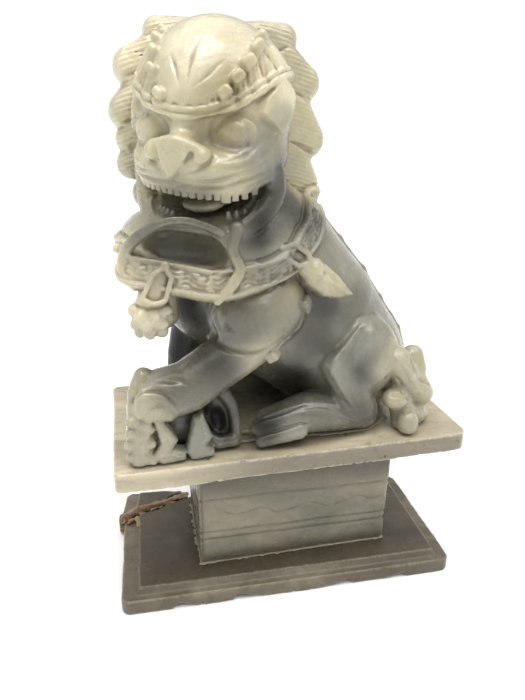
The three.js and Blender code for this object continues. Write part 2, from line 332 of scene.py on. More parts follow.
class Plate:
    """A piece of even thickness cut to an outline in the plane of two directions."""

    def __init__(self, centre, across, up, outline, thick, edge):
        self.centre = np.array(centre, float)
        self.across = np.array(across, float) / np.linalg.norm(across)
        normal = np.cross(self.across, up)
        self.normal = normal / np.linalg.norm(normal)
        self.up = np.cross(self.normal, self.across)
        self.outline = np.array(outline, float)
        self.thick, self.edge = thick, edge
        corners = np.array([
            self.centre + u * self.across + v * self.up + w * self.normal
            for u, v in self.outline for w in (-thick / 2, thick / 2)
        ])
        self.low, self.high = corners.min(0), corners.max(0)

    def distance(self, x, y, z):
        x, y, z = x - self.centre[0], y - self.centre[1], z - self.centre[2]
        u, v, w = [
            x * way[0] + y * way[1] + z * way[2] for way in (self.across, self.up, self.normal)
        ]
        flat = outline_distance(self.outline, u, v) + self.edge
        deep = abs(w) - self.thick / 2 + self.edge
        outer = np.sqrt(np.maximum(flat, 0) ** 2 + np.maximum(deep, 0) ** 2)
        return outer + np.minimum(np.maximum(flat, deep), 0) - self.edge


class Block:
    """A box with rounded edges, turned about its centre."""

    def __init__(self, centre, half, edge, axes=None):
        self.centre, self.half, self.edge = np.array(centre, float), np.array(half, float), edge
        self.axes = np.eye(3) if axes is None else np.array(axes, float)
        reach = abs(self.axes * self.half).sum(1)
        self.low, self.high = self.centre - reach, self.centre + reach

    def distance(self, x, y, z):
        x, y, z = x - self.centre[0], y - self.centre[1], z - self.centre[2]
        sides = []
        for k in range(3):
            d = x * self.axes[0, k] + y * self.axes[1, k] + z * self.axes[2, k]
            sides.append(abs(d) - self.half[k] + self.edge)
        outer = np.sqrt(sum(np.maximum(s, 0) ** 2 for s in sides))
        inner = np.minimum(np.maximum(np.maximum(sides[0], sides[1]), sides[2]), 0)
        return outer + inner - self.edge


def ball(centre, radius):
    return Egg(centre, (radius,) * 3)


def curve(points, count):
    """A smooth run of count points through a few."""
    p = np.array(points, float)
    if len(p) == 2:
        p = np.stack([p[0], p.mean(0), p[1]])
    p = np.vstack([2 * p[0] - p[1], p, 2 * p[-1] - p[-2]])
    t = np.linspace(0, len(p) - 3 - 1e-9, count)
    i = t.astype(int)
    u = (t - i)[:, None]
    a, b, c, d = p[i], p[i + 1], p[i + 2], p[i + 3]
    bow = (2 * a - 5 * b + 4 * c - d) * u**2 + (3 * b - a - 3 * c + d) * u**3
    return 0.5 * (2 * b + (c - a) * u + bow)


def across(stone, path):
    """Unit vectors on the surface, square to a path on it, pointing to the path's left."""
    side = np.cross(stone.slope(path), np.gradient(path, axis=0))
    return side / np.linalg.norm(side, axis=1, keepdims=True)


# The lion

FLOOR = mm_box("lion")[0][2]
HEAD = np.array([-31.0, -10.0, 212.0])
HEAD_AXES = turn(yaw=-31) @ turn(roll=8)       # columns: the viewer's right, back, up


def face(side, front, up):
    """A point given from the middle of the head."""
    return HEAD + HEAD_AXES @ np.array([side, -front, up])


def faces(points):
    return [face(*p) for p in points]


def head_form(low, high, rule):
    """A shape given by a rule of side, front and up on the head."""
    spans = zip(low, high)
    corners = np.array([face(s, f, t) for s, f, t in np.array(np.meshgrid(*spans)).reshape(3, -1).T])

    def distance(x, y, z):
        x, y, z = x - HEAD[0], y - HEAD[1], z - HEAD[2]
        side, back, up = [
            x * HEAD_AXES[0, k] + y * HEAD_AXES[1, k] + z * HEAD_AXES[2, k] for k in range(3)
        ]
        return rule(side, -back, up)

    return Form(corners.min(0), corners.max(0), distance)


def masses(stone):
    add = stone.add
    # trunk, from the neck down to the rump
    spine = [(-14, 1, 157), (11, 1, 128), (30, 2, 107)]
    add(Limb(spine, [36.5, 36.5, 33], flat=(0, 1, 0), ratio=1.22))
    add(Egg((42, 2, 102), (20, 25, 21)), 8)
    add(Egg((-28, -1, 146), (28, 27, 28)), 8)
    # cape under the collar, and the neck
    add(Egg((-31, -5, 165), (41, 36.5, 20.5), turn(0, 6, -8)), 5)
    add(Limb([(-24, 2, 172), (-27, -2, 196)], [27, 24]), 6)
    # web between the legs on the far side
    add(Egg((-14, 24, 98), (26, 9, 20)), 6)
    add(Egg((-25, 19, 115), (11, 9, 9)), 4)
    # far shoulder, fore leg and paw
    add(Egg((-20, 22, 142), (22, 16, 20)), 4)
    add(Limb([(-34, 14, 136), (-41, 15, 108), (-43, 15, 92)], [14, 12, 11]), 4)
    add(Egg((-50, 15, 87), (15, 12, 9)), 3)
    # near shoulder, fore leg and paw
    add(Egg((-17, -21, 142), (22.5, 19.5, 19.5)), 1.2)
    add(Limb([(-19, -27, 131), (-33, -29, 121), (-48, -31, 112), (-58, -31, 110)], [12, 11, 11, 10]), 3)
    add(Egg((-57.5, -30, 109), (12.5, 12, 9.5)), 4)
    # haunches, shins and hind feet
    for y, out in ((-20, -1), (22, 1)):
        add(Egg((32, y, 112), (19, 14, 22), turn(0, 20, 0)), 3)
        shin = [(31, y + 4 * out, 125), (18, y + 9 * out, 115), (30, y + 9 * out, 94)]
        add(Limb(shin, [9, 7, 8]), 3)
        foot = [(32, y + 8 * out, 89), (6, y + 7 * out, 91), (-13, y + 8 * out, 87)]
        add(Limb(foot, [8, 9.5, 7]), 3)
    # footing between the feet
    footing = Form(
        (-60, -26, FLOOR - 4), (52, 34, FLOOR + 3),
        lambda x, y, z: np.maximum(
            np.sqrt(((x + 4) / 56) ** 2 + ((y - 4) / 30) ** 2) * 30 - 30, z - FLOOR - 2.2
        ),
    )
    add(footing, 3)
    # body of the cub under the near paw
    add(Egg((-52, -18, 91), (17, 12, 13)), 3)


def mane(stone):
    """A fan of leaf-like locks behind the face, and the hair down the neck."""
    fan = stone.blank()
    fan.add(Egg((-26, 7, 214), (39, 14, 36)))
    locks = [
        ((-20, 245), (-1, 246), 7, 6), ((-10, 240), (8, 230), 12, 7.6),
        ((-2, 222), (10, 208), 12, 8.6), ((-2, 204), (8, 189), 12, 9),
        ((-34, 245), (-51, 246.5), 7, 6), ((-44, 241), (-61.5, 234), 10, 7.8),
        ((-52, 228), (-64.5, 218), 10, 7.8), ((-56, 214), (-63.5, 207.5), 8, 6.8),
        ((-54, 204), (-64, 198), 8, 6.5), ((-46, 196), (-58, 186), 9, 7),
    ]
    for (x0, z0), (x1, z1), root, tip in locks:
        fan.add(Limb([(x0, 7, z0), (x1, 7, z1)], [root, tip], flat=(0, 1, 0), ratio=0.7), 1.5)
    front = Form((-80, -50, 150), (74, -1, 256), lambda x, y, z: y + 2.5 + 0 * x + 0 * z)
    fan.cut(front, 2)
    fan.add(Egg((-26, 12, 212), (33, 17, 34)), 3)
    nape = [(-26, 14, 206), (-18, 18, 182), (-8, 16, 168)]
    fan.add(Limb(nape, [26, 22, 15], flat=(0, 1, 0), ratio=1.1), 6)
    stone.merge(fan, 2)


def comb(stone):
    """Fine saw-cut lines: level on the front of the mane, fanned out behind."""
    pitch = 1.75

    def in_front(x, y, z):
        off_face = 30 - np.sqrt((x + 31) ** 2 + (z - 208) ** 2)
        return np.maximum(np.maximum(off_face, y - 4), 176 - z)

    def level_lines(x, y, z):
        return 0.5 + 0.5 * np.cos(2 * np.pi * (z + 0.004 * (x + 26) ** 2 + 0 * y) / pitch)

    stone.ripple(Form((-78, -12, 176), (26, 5, 252), in_front), level_lines, 0.38, 2.0)

    def behind(x, y, z):
        return np.maximum(9 - y, 170 - z) + 0 * x

    def fanned_lines(x, y, z):
        spread = np.maximum(0.9, 0.6 + (262 - z) / 34)
        wander = 0.5 * np.sin(z / 9) + 0 * y
        return 0.5 + 0.5 * np.cos(2 * np.pi * ((x + 26) / spread + wander) / 1.5)

    stone.ripple(Form((-78, 9, 170), (26, 40, 254), behind), fanned_lines, 0.6, 3.0)
    partings = [
        ((11, 222), (-2, 228)), ((15, 200), (0, 208)), ((6, 179), (-4, 190)), ((1, 243.5), (-9, 238)),
        ((-67.5, 229), (-57, 232)), ((-69, 212), (-59, 216)), ((-67.5, 202.5), (-59, 206)),
        ((-58, 246), (-47, 241)),
    ]
    for (x0, z0), (x1, z1) in partings:
        for y in (-2.5, 17):
            middle = ((x0 + x1) / 2, y, (z0 + z1) / 2 + 0.6)
            stone.draw([(x0, y, z0), middle, (x1, y, z1)], 1.6, -1.3, 10, 0.3)
    # long partings between the locks behind, and curls at the nape
    for x, lean in ((-62, -6), (-50, -4), (-38, -2), (-26, 0), (-14, 2), (-2, 4)):
        fall = [(x + 0.45 * (-26 - x), 30, 244), (x, 31, 214), (x + lean, 30, 186)]
        stone.draw(fall, 2.0, -1.3, 26, 0.2)
    for k, x in enumerate((-34, -22, -10, 2)):
        at = stone.onto([(x, 40, 175 + 5 * (k % 2))])[0]
        stone.add(Egg(at, (5.4, 3.4, 4.6)), 1.0, 4)
        swirl = [
            (x + r * np.cos(a), 44, at[2] + r * np.sin(a))
            for r, a in zip(np.linspace(4.2, 0.8, 9), np.linspace(0, 3.2 * np.pi, 9))
        ]
        stone.draw(swirl, 0.9, -0.8, 26, 0.1)


def brow_line(side):
    """Height of the cap's lower edge on the head."""
    return 6.6 + np.where(side > 4, 0.0175, 0.011) * (side - 4) ** 2


def hump(share):
    """A rounded rise between -1 and 1."""
    return np.clip(1 - share**2, 0, 1) ** 1.5


def head(stone):
    add, cut = stone.add, stone.cut
    axes = HEAD_AXES
    add(Egg(face(0, 0, 5), (29.5, 29.5, 31), axes), 2)
    add(Egg(face(0, 8, -8), (30, 26, 17), axes), 4)              # cheeks
    add(Egg(face(0, 18.5, -7.5), (25, 18.5, 10.5), axes), 4)       # muzzle

    def cap(side, front, up):
        rise = up - brow_line(side)
        bulge = 1.0 * hump((rise - 1.3) / 1.3) + 0.7 * hump((rise - 4.0) / 1.1)
        ball = np.sqrt((side / 31.8) ** 2 + (front / 31.8) ** 2 + ((up - 6) / 33) ** 2) - 1
        return np.maximum(ball * 31.5 - bulge, -rise)

    add(head_form((-35, -34, 0), (35, 36, 42), cap), 0.7)
    for side in (-1, 1):
        cut(Egg(face(15 * side, 33.5, 2.4), (12, 8.5, 6.0), axes), 5)     # eye hollow
    add(Limb(faces([(-1, 25, 5), (-1, 32.5, -0.5)]), [6, 4.5]), 3)    # bridge of the nose
    for side in (-1, 1):
        add(Egg(face(15.6 * side, 21.8, 2.6), (7.4, 6.4, 5.8), axes), 1.6)
    jaw_and_mouth(stone)


def jaw_and_mouth(stone):
    add, cut = stone.add, stone.cut
    add(Egg(face(0, 6, -24), (23, 22, 10), HEAD_AXES), 4)
    cut(Egg(face(0, 27, -21.5), (21, 24, 6.5), HEAD_AXES), 1.5)
    cut(Egg(face(-3, 36, -40.5), (17.5, 12.0, 10.3), HEAD_AXES), 2.0)
    # the cheeks run down into the corners of the jaw
    for side in (-1, 1):
        strap = [
            (27 * side, 13, -14), (26.5 * side, 14, -22), (21 * side, 22, -30), (14 * side, 28.5, -33),
        ]
        add(Limb(curve(faces(strap), 9), [4.0, 4.0, 4.2, 4.4, 4.4, 4.2, 4.0, 3.6, 3.2]), 1.8)
        gum = [(23.5 * side, 21, -16), (21.5 * side, 24, -22), (15.5 * side, 30, -29)]
        stone.draw(faces(gum), 1.0, 0.8, 14, 0.2)
    chin = [
        (-64, -31, 175), (-58.5, -37.5, 179.5), (-51, -40, 181.5), (-43.5, -40.5, 180.2),
        (-35, -40, 176.5),
    ]
    add(Limb(curve(chin, 12), 1.4), 2.4, 5)
    stone.draw([(x, y - 2, z + 1.0) for x, y, z in chin], 0.8, -0.6, 20, 0.1)
    stone.draw([(x, y - 2, z + 2.6) for x, y, z in chin], 1.0, 0.5, 20, 0.1)
    add(Egg(face(-1, 21, -30), (17, 14, 3.4), HEAD_AXES), 2.5)
    # tongue, lower teeth and the ridged floor of the mouth
    tongue = faces([(3, 8, -23.5), (2.5, 19, -22.5), (2.2, 24, -22.8)])
    add(Limb(tongue, [7, 8.4, 8.0], flat=HEAD_AXES[:, 2], ratio=2.6), 2.0)
    lower_teeth = [
        (-16.5, 22), (-14, 24), (-11.5, 26), (-9, 27.5), (12.5, 25), (15, 23), (17.5, 20.5),
    ]
    for side, front in lower_teeth:
        root, tip = face(side, front, -30), face(side, front + 0.6, -25.6)
        add(Limb([root, tip], [1.5, 0.9]), 0.9, 3)


def ribbons(stone):
    """Beard ribbons, from the jaw down over the collar."""
    runs = [
        ([(-29, -39.5, 178), (-31, -41, 170), (-28.6, -42.6, 163.5), (-31.5, -43.6, 158.2),
          (-37.5, -44, 151.6)], [2.6, 2.1, 2.1, 2.3, 1.4]),
        ([(-57.5, -37.5, 180), (-64.5, -35, 175.5), (-69.5, -31, 169.5), (-71, -31, 162.5),
          (-67.5, -36, 156.5)], [1.7, 2.1, 2.3, 2.3, 1.4]),
    ]
    for points, radii in runs:
        path = curve(points, 16)
        girth = np.interp(np.linspace(0, 1, 16), np.linspace(0, 1, len(radii)), radii)
        stone.add(Limb(path, girth), 0.8, 4)
        stone.draw([p + (0, -2.6, 0.6) for p in path[2:-1:3]], 0.9, -0.5, 16, 0.2)


def nose(stone):
    """A broad nose: a bulb at each side, a ridge along its top and a tip that points down."""
    add = stone.add
    ridge = [
        (-10, 34.6, -0.4), (-6, 36.0, 0.8), (-1.5, 36.4, 0.8), (3, 36.0, -0.4), (6.5, 34.4, -2.2),
    ]
    add(Limb(curve(faces(ridge), 9), 2.2), 3.5, 6)
    add(Egg(face(-10.4, 34.2, -2.3), (3.7, 4.2, 3.6), HEAD_AXES), 1.0, 5)
    add(Egg(face(7.2, 33.8, -4.0), (3.6, 4.0, 3.2), HEAD_AXES), 1.0, 5)
    front = [
        (-5.6, 2.6), (4.6, 2.0), (6.0, -1.0), (3.2, -3.6), (-1.0, -9.0), (-2.8, -9.0),
        (-5.8, -3.6), (-7.4, 0.0),
    ]
    upward = HEAD_AXES @ np.array([0, 0.12, 1])
    add(Plate(face(-1.6, 34.6, -2.2), HEAD_AXES[:, 0], upward, front, 8.6, 2.0), 1.4, 5)
    below_bulbs = [
        [(10.8, 33, -1.0), (10.6, 33, -5.0), (6.6, 34.6, -8.0), (0.6, 36, -9.4)],
        [(-14.4, 31, -0.6), (-13.6, 32, -4.6), (-9.6, 34.4, -7.4), (-6.4, 36, -9.4)],
    ]
    for path in below_bulbs:
        stone.draw(faces(path), 1.7, -1.2, 14, 0.4)
    nostrils = [
        [(-9.4, 38, 0.4), (-8.4, 38, -2.4), (-7.0, 38, -5.6)],
        [(5.6, 38, -1.4), (4.6, 38, -3.4), (2.4, 38, -6.4)],
    ]
    for path in nostrils:
        stone.draw(faces(path), 1.6, -1.7, 8, 0.4)


def lip(side):
    """Height of the upper lip's edge."""
    sides = (-24, -14, -5, 2, 10, 15, 20, 25)
    heights = (-14.6, -15.2, -15.8, -16.6, -17.6, -18.6, -18.2, -16.4)
    return np.interp(side, sides, heights)


def muzzle(stone):
    """Folds of the cheeks, the rim of the upper lip and the row of teeth below it."""
    folds = [
        [(9.5, 37.5, -7), (17, 33.5, -8), (22.5, 28, -7), (26, 20, -4)],
        [(1, 37, -11.5), (11, 34.5, -12), (19.5, 30, -10.2), (26.5, 22, -7)],
        [(-1, 36.5, -14), (10, 34.5, -14.6), (20, 28, -13), (27.5, 19, -10)],
        [(16, 34, -5), (21.5, 29, -3.6), (26, 21, -0.5)],
    ]
    edge = [face(s, 33.0 * np.sqrt(1 - (s / 30) ** 2), lip(s) + 2.9) for s in np.linspace(-25, 25, 13)]
    stone.add(Limb(edge, 2.7), 3.0, 6)
    for side in (-1, 1):
        for fold in folds:
            path = [face(side * s, f, t - 0.1 * (side < 0) * s) for s, f, t in fold]
            stone.draw(path, 1.6, -0.85, 16, 0.7)
            stone.draw([p - 1.7 * HEAD_AXES[:, 2] for p in path], 1.7, 0.45, 16, 0.7)
    for rise, width, height in ((0.7, 1.5, 0.7), (3.2, 1.2, -0.45)):
        rim = [face(s, 36 * np.sqrt(1 - (s / 30) ** 2), lip(s) + rise) for s in np.linspace(-24, 25, 11)]
        stone.draw(rim, width, height, 30, 0.1)
    count, pitch, fang = 17, 2.75, 13
    for i in range(count):
        s = pitch * (i - (count - 1) / 2)
        front = 34.4 * np.sqrt(1 - (s / 29.5) ** 2)
        half = (1.7, 1.6, 2.1) if i == fang else (1.22, 1.5, 1.6)
        yaw = turn(yaw=np.degrees(np.arctan2(s, 30)))
        stone.add(Block(face(s, front, lip(s) - 0.1), half, 0.45, HEAD_AXES @ yaw), 0.35, 3)


def combed(sign, curls):
    """The cap's hair on one side, from the curls down to the rim."""
    fronts, tops = [c[1] for c in curls], [c[2] for c in curls]

    def rule(side, front, up):
        top = np.interp(front, fronts, tops)
        return np.maximum(np.maximum(up - top + 1.6, brow_line(side) + 4.6 - up), 8 - sign * side)

    low, high = sorted((8 * sign, 36 * sign))
    return head_form((low, 0, 6), (high, 36, 36), rule)


def meridians(x, y, z):
    """Strands that run down the head, a little apart."""
    side = (x - HEAD[0]) * HEAD_AXES[0, 0] + (y - HEAD[1]) * HEAD_AXES[1, 0]
    front = -(x - HEAD[0]) * HEAD_AXES[0, 1] - (y - HEAD[1]) * HEAD_AXES[1, 1]
    radius, pitch = 30, 2.0
    return 0.5 + 0.5 * np.cos(2 * np.pi * radius * np.arctan2(side, front) / pitch) + 0 * z


def crown(stone):
    """Cuts on the crown, the curls that border it and the combed hair below them."""
    cuts = [
        [(-6, 24, 27.5), (-3.5, 26.5, 24), (-0.8, 29.5, 18)],
        [(3.5, 20, 31.5), (2.6, 25.5, 25.5), (1.8, 29.5, 17.6)],
        [(13, 22.5, 25), (8.5, 27, 21), (3.6, 30, 17.2)],
    ]
    for end, middle, apex in cuts:
        stone.draw(faces([end, middle, apex]), 1.4, -1.9, 16, 0.6)
    curls = {
        -1: [(-17, 4, 33.5), (-15.5, 13, 31.5), (-14, 19.5, 28), (-12.5, 25, 22.5), (-8.5, 29.5, 15.5)],
        1: [(21, 7, 31), (21.5, 12, 28.5), (20.8, 19, 24.5), (18.5, 24.5, 20.5), (15, 28.5, 16)],
    }
    hems = {
        -1: [(-28.5, 3, 23), (-26.5, 11, 19), (-22, 19.5, 15.5), (-15.5, 26.5, 13), (-9.5, 30, 11)],
        1: [(29, 4, 22), (27.6, 11, 18.2), (25.2, 18, 14.4), (20.5, 23.5, 11.8), (15.5, 27, 10)],
    }
    for side in (-1, 1):
        top = stone.onto(curve(faces(curls[side]), 25))
        hem = stone.onto(curve(faces(hems[side]), 25))
        outward = HEAD_AXES @ np.array([side * 0.8, -0.35, 0.5])
        strands = [curve([a, 0.5 * (a + b) + 1.2 * outward, b], 10) for a, b in zip(top, hem)]
        for strand in strands[::6]:                             # a plump lock below each curl
            stone.draw(strand, 3.4, 0.9, 10, 0.1)
        for strand in strands[3::6]:
            stone.draw(strand, 1.3, -0.9, 10, 0.1)
        stone.ripple(combed(side, curls[side]), meridians, 0.7, 1.2)
        for k, spot in enumerate(curls[side]):
            at = stone.onto([face(*spot)])[0]
            out = stone.slope([at])[0]
            lean = HEAD_AXES @ turn(yaw=25 * side + 14 * (k % 2), pitch=-35 * side, roll=20 - 12 * k)
            size = np.array((2.7, 2.0, 2.0) if side > 0 else (2.3, 1.8, 1.8))
            stone.add(Block(at + 0.5 * out, size, 1.5, lean), 1.3, 4)
    # small leaves over the brow
    leaves = [(7, 30.5, 10.3), (11.5, 29.5, 11.6), (16, 27.5, 11.8), (2.5, 31.5, 10), (-3, 31.5, 10.4)]
    for spot in leaves:
        at = stone.onto([face(*spot)])[0]
        tilt = HEAD_AXES @ turn(pitch=-20)
        sweep = [at + tilt @ np.array(p) for p in ((-2.4, 0, 1.6), (0.8, 0, 2.2), (2.8, 0, 0.4))]
        stone.draw(sweep, 0.9, -0.55, 8, 0.4)


def ears(stone):
    """Flat leaf-shaped ears that hang from the cap."""
    leaf = [(19.5, 8.6), (17, 12.6), (6, 19), (-1, 13), (5, 7.5), (12.5, 0.4)]

    def ear(sign):
        def rule(side, front, up):
            ball = np.sqrt((side / 31.6) ** 2 + (front / 31) ** 2 + ((up - 2) / 36) ** 2) - 1
            inset = outline_distance(np.array(leaf, float), front, up)
            shell = ball * 31 - 1.5
            return np.maximum(np.maximum(shell, inset), 12 - sign * side)
        return rule

    for sign in (-1, 1):
        low, high = sorted((10 * sign, 38 * sign))
        stone.add(head_form((low, -4, -4), (high, 26, 24), ear(sign)), 0.8, 4)


def eyes(stone):
    for side in (-1, 1):
        c = np.array([16.5 * side, 26.5, 2.3])
        ring = [
            face(c[0] + 8.4 * np.cos(a), c[1] + 1.0, c[2] + 6.9 * np.sin(a))
            for a in np.linspace(0, 2 * np.pi, 17)
        ]
        stone.draw(ring, 1.4, -0.35, 32, 0.0)
        lids = [
            ([(-9, 0, 4), (0, 1, 8.2), (9.5, -3.5, 3)], 0.5),
            ([(-8, 0, -5.5), (0, 1, -7.8), (9.5, -3, -3)], 0.4),
            ([(6, -1, 7.5), (8.8, -4, 2), (6.5, -2, -4.5)], 0.9),
        ]
        for points, height in lids:
            path = [face(c[0] + s * side, c[1] + f, c[2] + t) for s, f, t in points]
            stone.draw(path, 1.6, height, 14, 0.4)


COLLAR = [
    (-70.5, -20, 166), (-69, -32, 162.5), (-61, -37.5, 161.5), (-50, -40, 159.5), (-37, -41, 157),
    (-24, -39, 158.5), (-12, -34, 162.5), (-3, -28, 166.5), (5, -22, 171.5), (8, -14, 176),
    (9, 0, 181), (3, 18, 180), (-12, 30, 174), (-32, 34, 168), (-52, 28, 165), (-65, 14, 165),
    (-71, -4, 166), (-70.5, -20, 166),
]


def under_collar(stone):
    """Fills the chest out to the back of the collar."""
    ring = [
        (-65, -18, 164), (-62, -27, 161), (-55, -31, 159.5), (-46, -33, 158), (-34, -34, 156.5),
        (-22, -32, 158), (-10, -27, 161),
    ]
    stone.add(Limb(curve(ring, 14), 6.0), 3, 6)


def collar(stone):
    """A flat band with a double rim, filled with cloud scrolls."""
    half = 5.4
    middle = curve(COLLAR, 90)
    ahead = np.gradient(middle, axis=0)
    for spot, along in list(zip(middle, ahead))[2:46]:
        along = along / np.linalg.norm(along)
        out = np.cross(along, (0, 0, 1)) + (0, 0, 0.45)
        out -= (out @ along) * along
        out /= np.linalg.norm(out)
        axes = np.stack([along, out, np.cross(along, out)], 1)
        stone.add(Block(spot - 3.2 * out, (2.4, 3.2, 5.8), 0.8, axes), 0.5, 4)
    path = stone.onto(middle)
    stone.swell(Limb(path, half), 2.0, 0.9)
    path = stone.onto(path)
    out = across(stone, path)
    rims = [(half - 0.3, 1.2, 0.9), (half - 2.0, 0.8, -0.7), (half + 1.2, 1.2, -0.9)]
    for shift, width, height in rims:
        for side in (-1, 1):
            stone.draw(path + side * shift * out, width, height, 120, 0.0)
    gaps = np.linalg.norm(np.diff(path, axis=0), axis=1)
    run = np.concatenate([[0], np.cumsum(gaps)])

    def on_band(along, side):
        spot = [np.interp(along, run, path[:, k] + side * out[:, k]) for k in range(3)]
        return np.array(spot)

    pitch = 11.5
    scrolls = [
        [(0, -2.6), (2.5, -1.3), (5, -2.3), (8, -2.9), (11.5, -2.6)],
        [(0, -0.8), (2.6, 0.6), (5.2, -0.5), (8, -1.3), (11.5, -0.8)],
        [(0, 1.0), (2.4, 2.4), (5, 1.2), (6.6, 0.4)],
        [(6.8, 1.7), (8.2, 2.9), (9.9, 2.4), (10.0, 0.9), (8.5, 0.7)],
    ]
    for i in range(int(run[-1] / pitch)):
        flip = 1 if i % 2 else -1
        for points in scrolls:
            spots = [on_band((i + 0.1) * pitch + a, flip * b) for a, b in points]
            stone.draw(spots, 1.15, -0.95, 3 * len(points), 0.15)


def link(stone, centre, outline, girth):
    """An open frame that lies on the collar."""
    ring = [np.add(centre, p) for p in outline + outline[:1]]
    stone.add(Limb(ring, girth), 0.4, 3)


def trimmings(stone):
    """The bell, the tassel and the studs of the harness."""
    add = stone.add
    add(Limb([(-57.5, -36.5, 161), (-61.5, -37, 152)], [4.6, 5.6], flat=(0, 1, 0), ratio=1.2), 1, 4)
    frame_points = [(-56.6, -42, 165.4), (-54.2, -41.8, 161.5), (-57, -42.6, 153), (-61.5, -42.8, 152.4),
                    (-65.2, -42, 154.2), (-61, -42, 163)]
    link(stone, (0, -1.6, 0), frame_points, 0.9)
    add(Limb([(-57.6, -39.6, 161.5), (-61, -39.4, 153)], [3.4, 4.6], flat=(0, 1, 0), ratio=1.3), 0.8, 4)
    stone.cut(Limb([(-57.8, -45.2, 161.5), (-60.6, -45.2, 155.6)], [2.2, 2.6]), 0.8, 3)
    add(ball((-56.3, -43, 166), 1.7), 0.5, 3)
    add(Egg((-62.2, -36.2, 146), (6.8, 6.4, 8.4)), 0.8, 4)
    add(Limb([(-58, -31, 155), (-57, -31, 144)], [6, 6]), 1.5, 4)
    mouth = [(-69.5, -38, 150.6), (-62, -43.5, 149.6), (-54.5, -38, 150.2)]
    stone.draw(mouth, 1.0, -0.9, 14, 0.0)
    stone.draw([(x, y, z + 1.7) for x, y, z in mouth], 1.1, 0.8, 14, 0.0)
    draw = np.random.default_rng(17)
    for row, (z, girth, count) in enumerate(((147.4, 6.2, 4), (143.2, 6.0, 4), (139.4, 4.4, 3))):
        for k in range(count):
            a = np.radians(-175 + 150 * (k + 0.5 * (row % 2)) / (count - 1))
            spot = (-62.4 + girth * np.cos(a), -36.6 + 0.9 * girth * np.sin(a), z + draw.normal(0, 0.5))
            add(Egg(spot, draw.uniform(1.9, 2.9, 3)), 1.6, 4)
    # tassel: a link with a pointed leaf
    add(Limb([(-8, -32.5, 167), (-1, -32.5, 163.5)], [4, 4], flat=(0, 1, 0), ratio=1.4), 1, 4)
    frame_points = [(-10, -35.5, 169), (-5.5, -36, 170.8), (0.2, -35.8, 166.6), (1.2, -35.6, 163),
                    (-3.6, -36.6, 162), (-9, -36.6, 165.8)]
    link(stone, (0, 0, 0), frame_points, 1.05)
    stone.cut(Limb([(-6, -38, 167), (-2.6, -38, 165)], [2.2, 2.2]), 0.4, 3)
    add(ball((-10.5, -35.5, 168.5), 1.8), 0.5, 3)
    add(Limb([(0, -33, 161), (3, -33, 159.5)], [4, 5]), 1, 4)
    outline = [(-6, 5.5), (-1, 7.4), (5, 6.8), (10, 2.2), (17, -6.8), (10, -7.6), (3, -6.2), (-4, 0)]
    leaf = Plate((4.5, -31.5, 153.6), (1, 0.12, 0), (0, 0.35, 1), outline, 9, 2.6)
    add(leaf, 0.8, 5)
    stone.draw([(1, -37, 160), (8, -38, 157.6), (14, -37, 153), (20, -35, 147.8)], 1.2, 0.9, 14, 0.2)
    stone.draw([(2, -37, 157), (9, -38, 152), (14, -37, 148.5)], 0.9, -0.6, 12, 0.3)
    studs = [((1.5, -33, 144.8), 3.5), ((-12.5, -36.5, 123.5), 3.2), ((-73.5, -20, 168.5), 1.9),
             ((1.5, 33, 144.8), 3.5), ((-12, 33, 123.5), 3.2)]
    for spot, size in studs:
        at = stone.onto([spot])[0]
        out = stone.slope([at])[0]
        right = np.cross(out, (0, 0, 1))
        right /= np.linalg.norm(right)
        axes = np.stack([right, out, np.cross(right, out)], 1) @ turn(pitch=25)
        add(Block(at, (size * 0.9, 2.4, size * 0.9), 1.1, axes), 0.5, 4)


def shoulder(stone):
    """The rim of the near shoulder, which overlaps the leg and the chest."""
    add = stone.add
    add(Egg((-19.5, -26, 142), (17.5, 16.5, 14.5)), 1.0, 5)
    rim = [
        (-37, -31, 148), (-37.8, -29.6, 143.3), (-38, -28.8, 138.2), (-36, -31, 133.2),
        (-31, -36.4, 130.8), (-25, -38.7, 129.5), (-18.9, -39.2, 129.2), (-12.8, -38.3, 130.6),
    ]
    stone.draw([(x + 2.2, y, z + 2.2) for x, y, z in rim], 3.2, 1.0, 26, 0.3)
    stone.draw([(x - 1.0, y - 1, z - 1.6) for x, y, z in rim], 2.2, -2.0, 26, 0.3)
    lower = [(3.5, -36, 142), (2, -37, 134), (-3.5, -38, 127.5), (-10, -39, 123), (-14, -40, 120.5)]
    stone.draw(lower, 1.6, 0.8, 22, 0.2)
    stone.draw([(x + 1.8, y, z - 1.2) for x, y, z in lower], 1.8, -1.0, 22, 0.2)


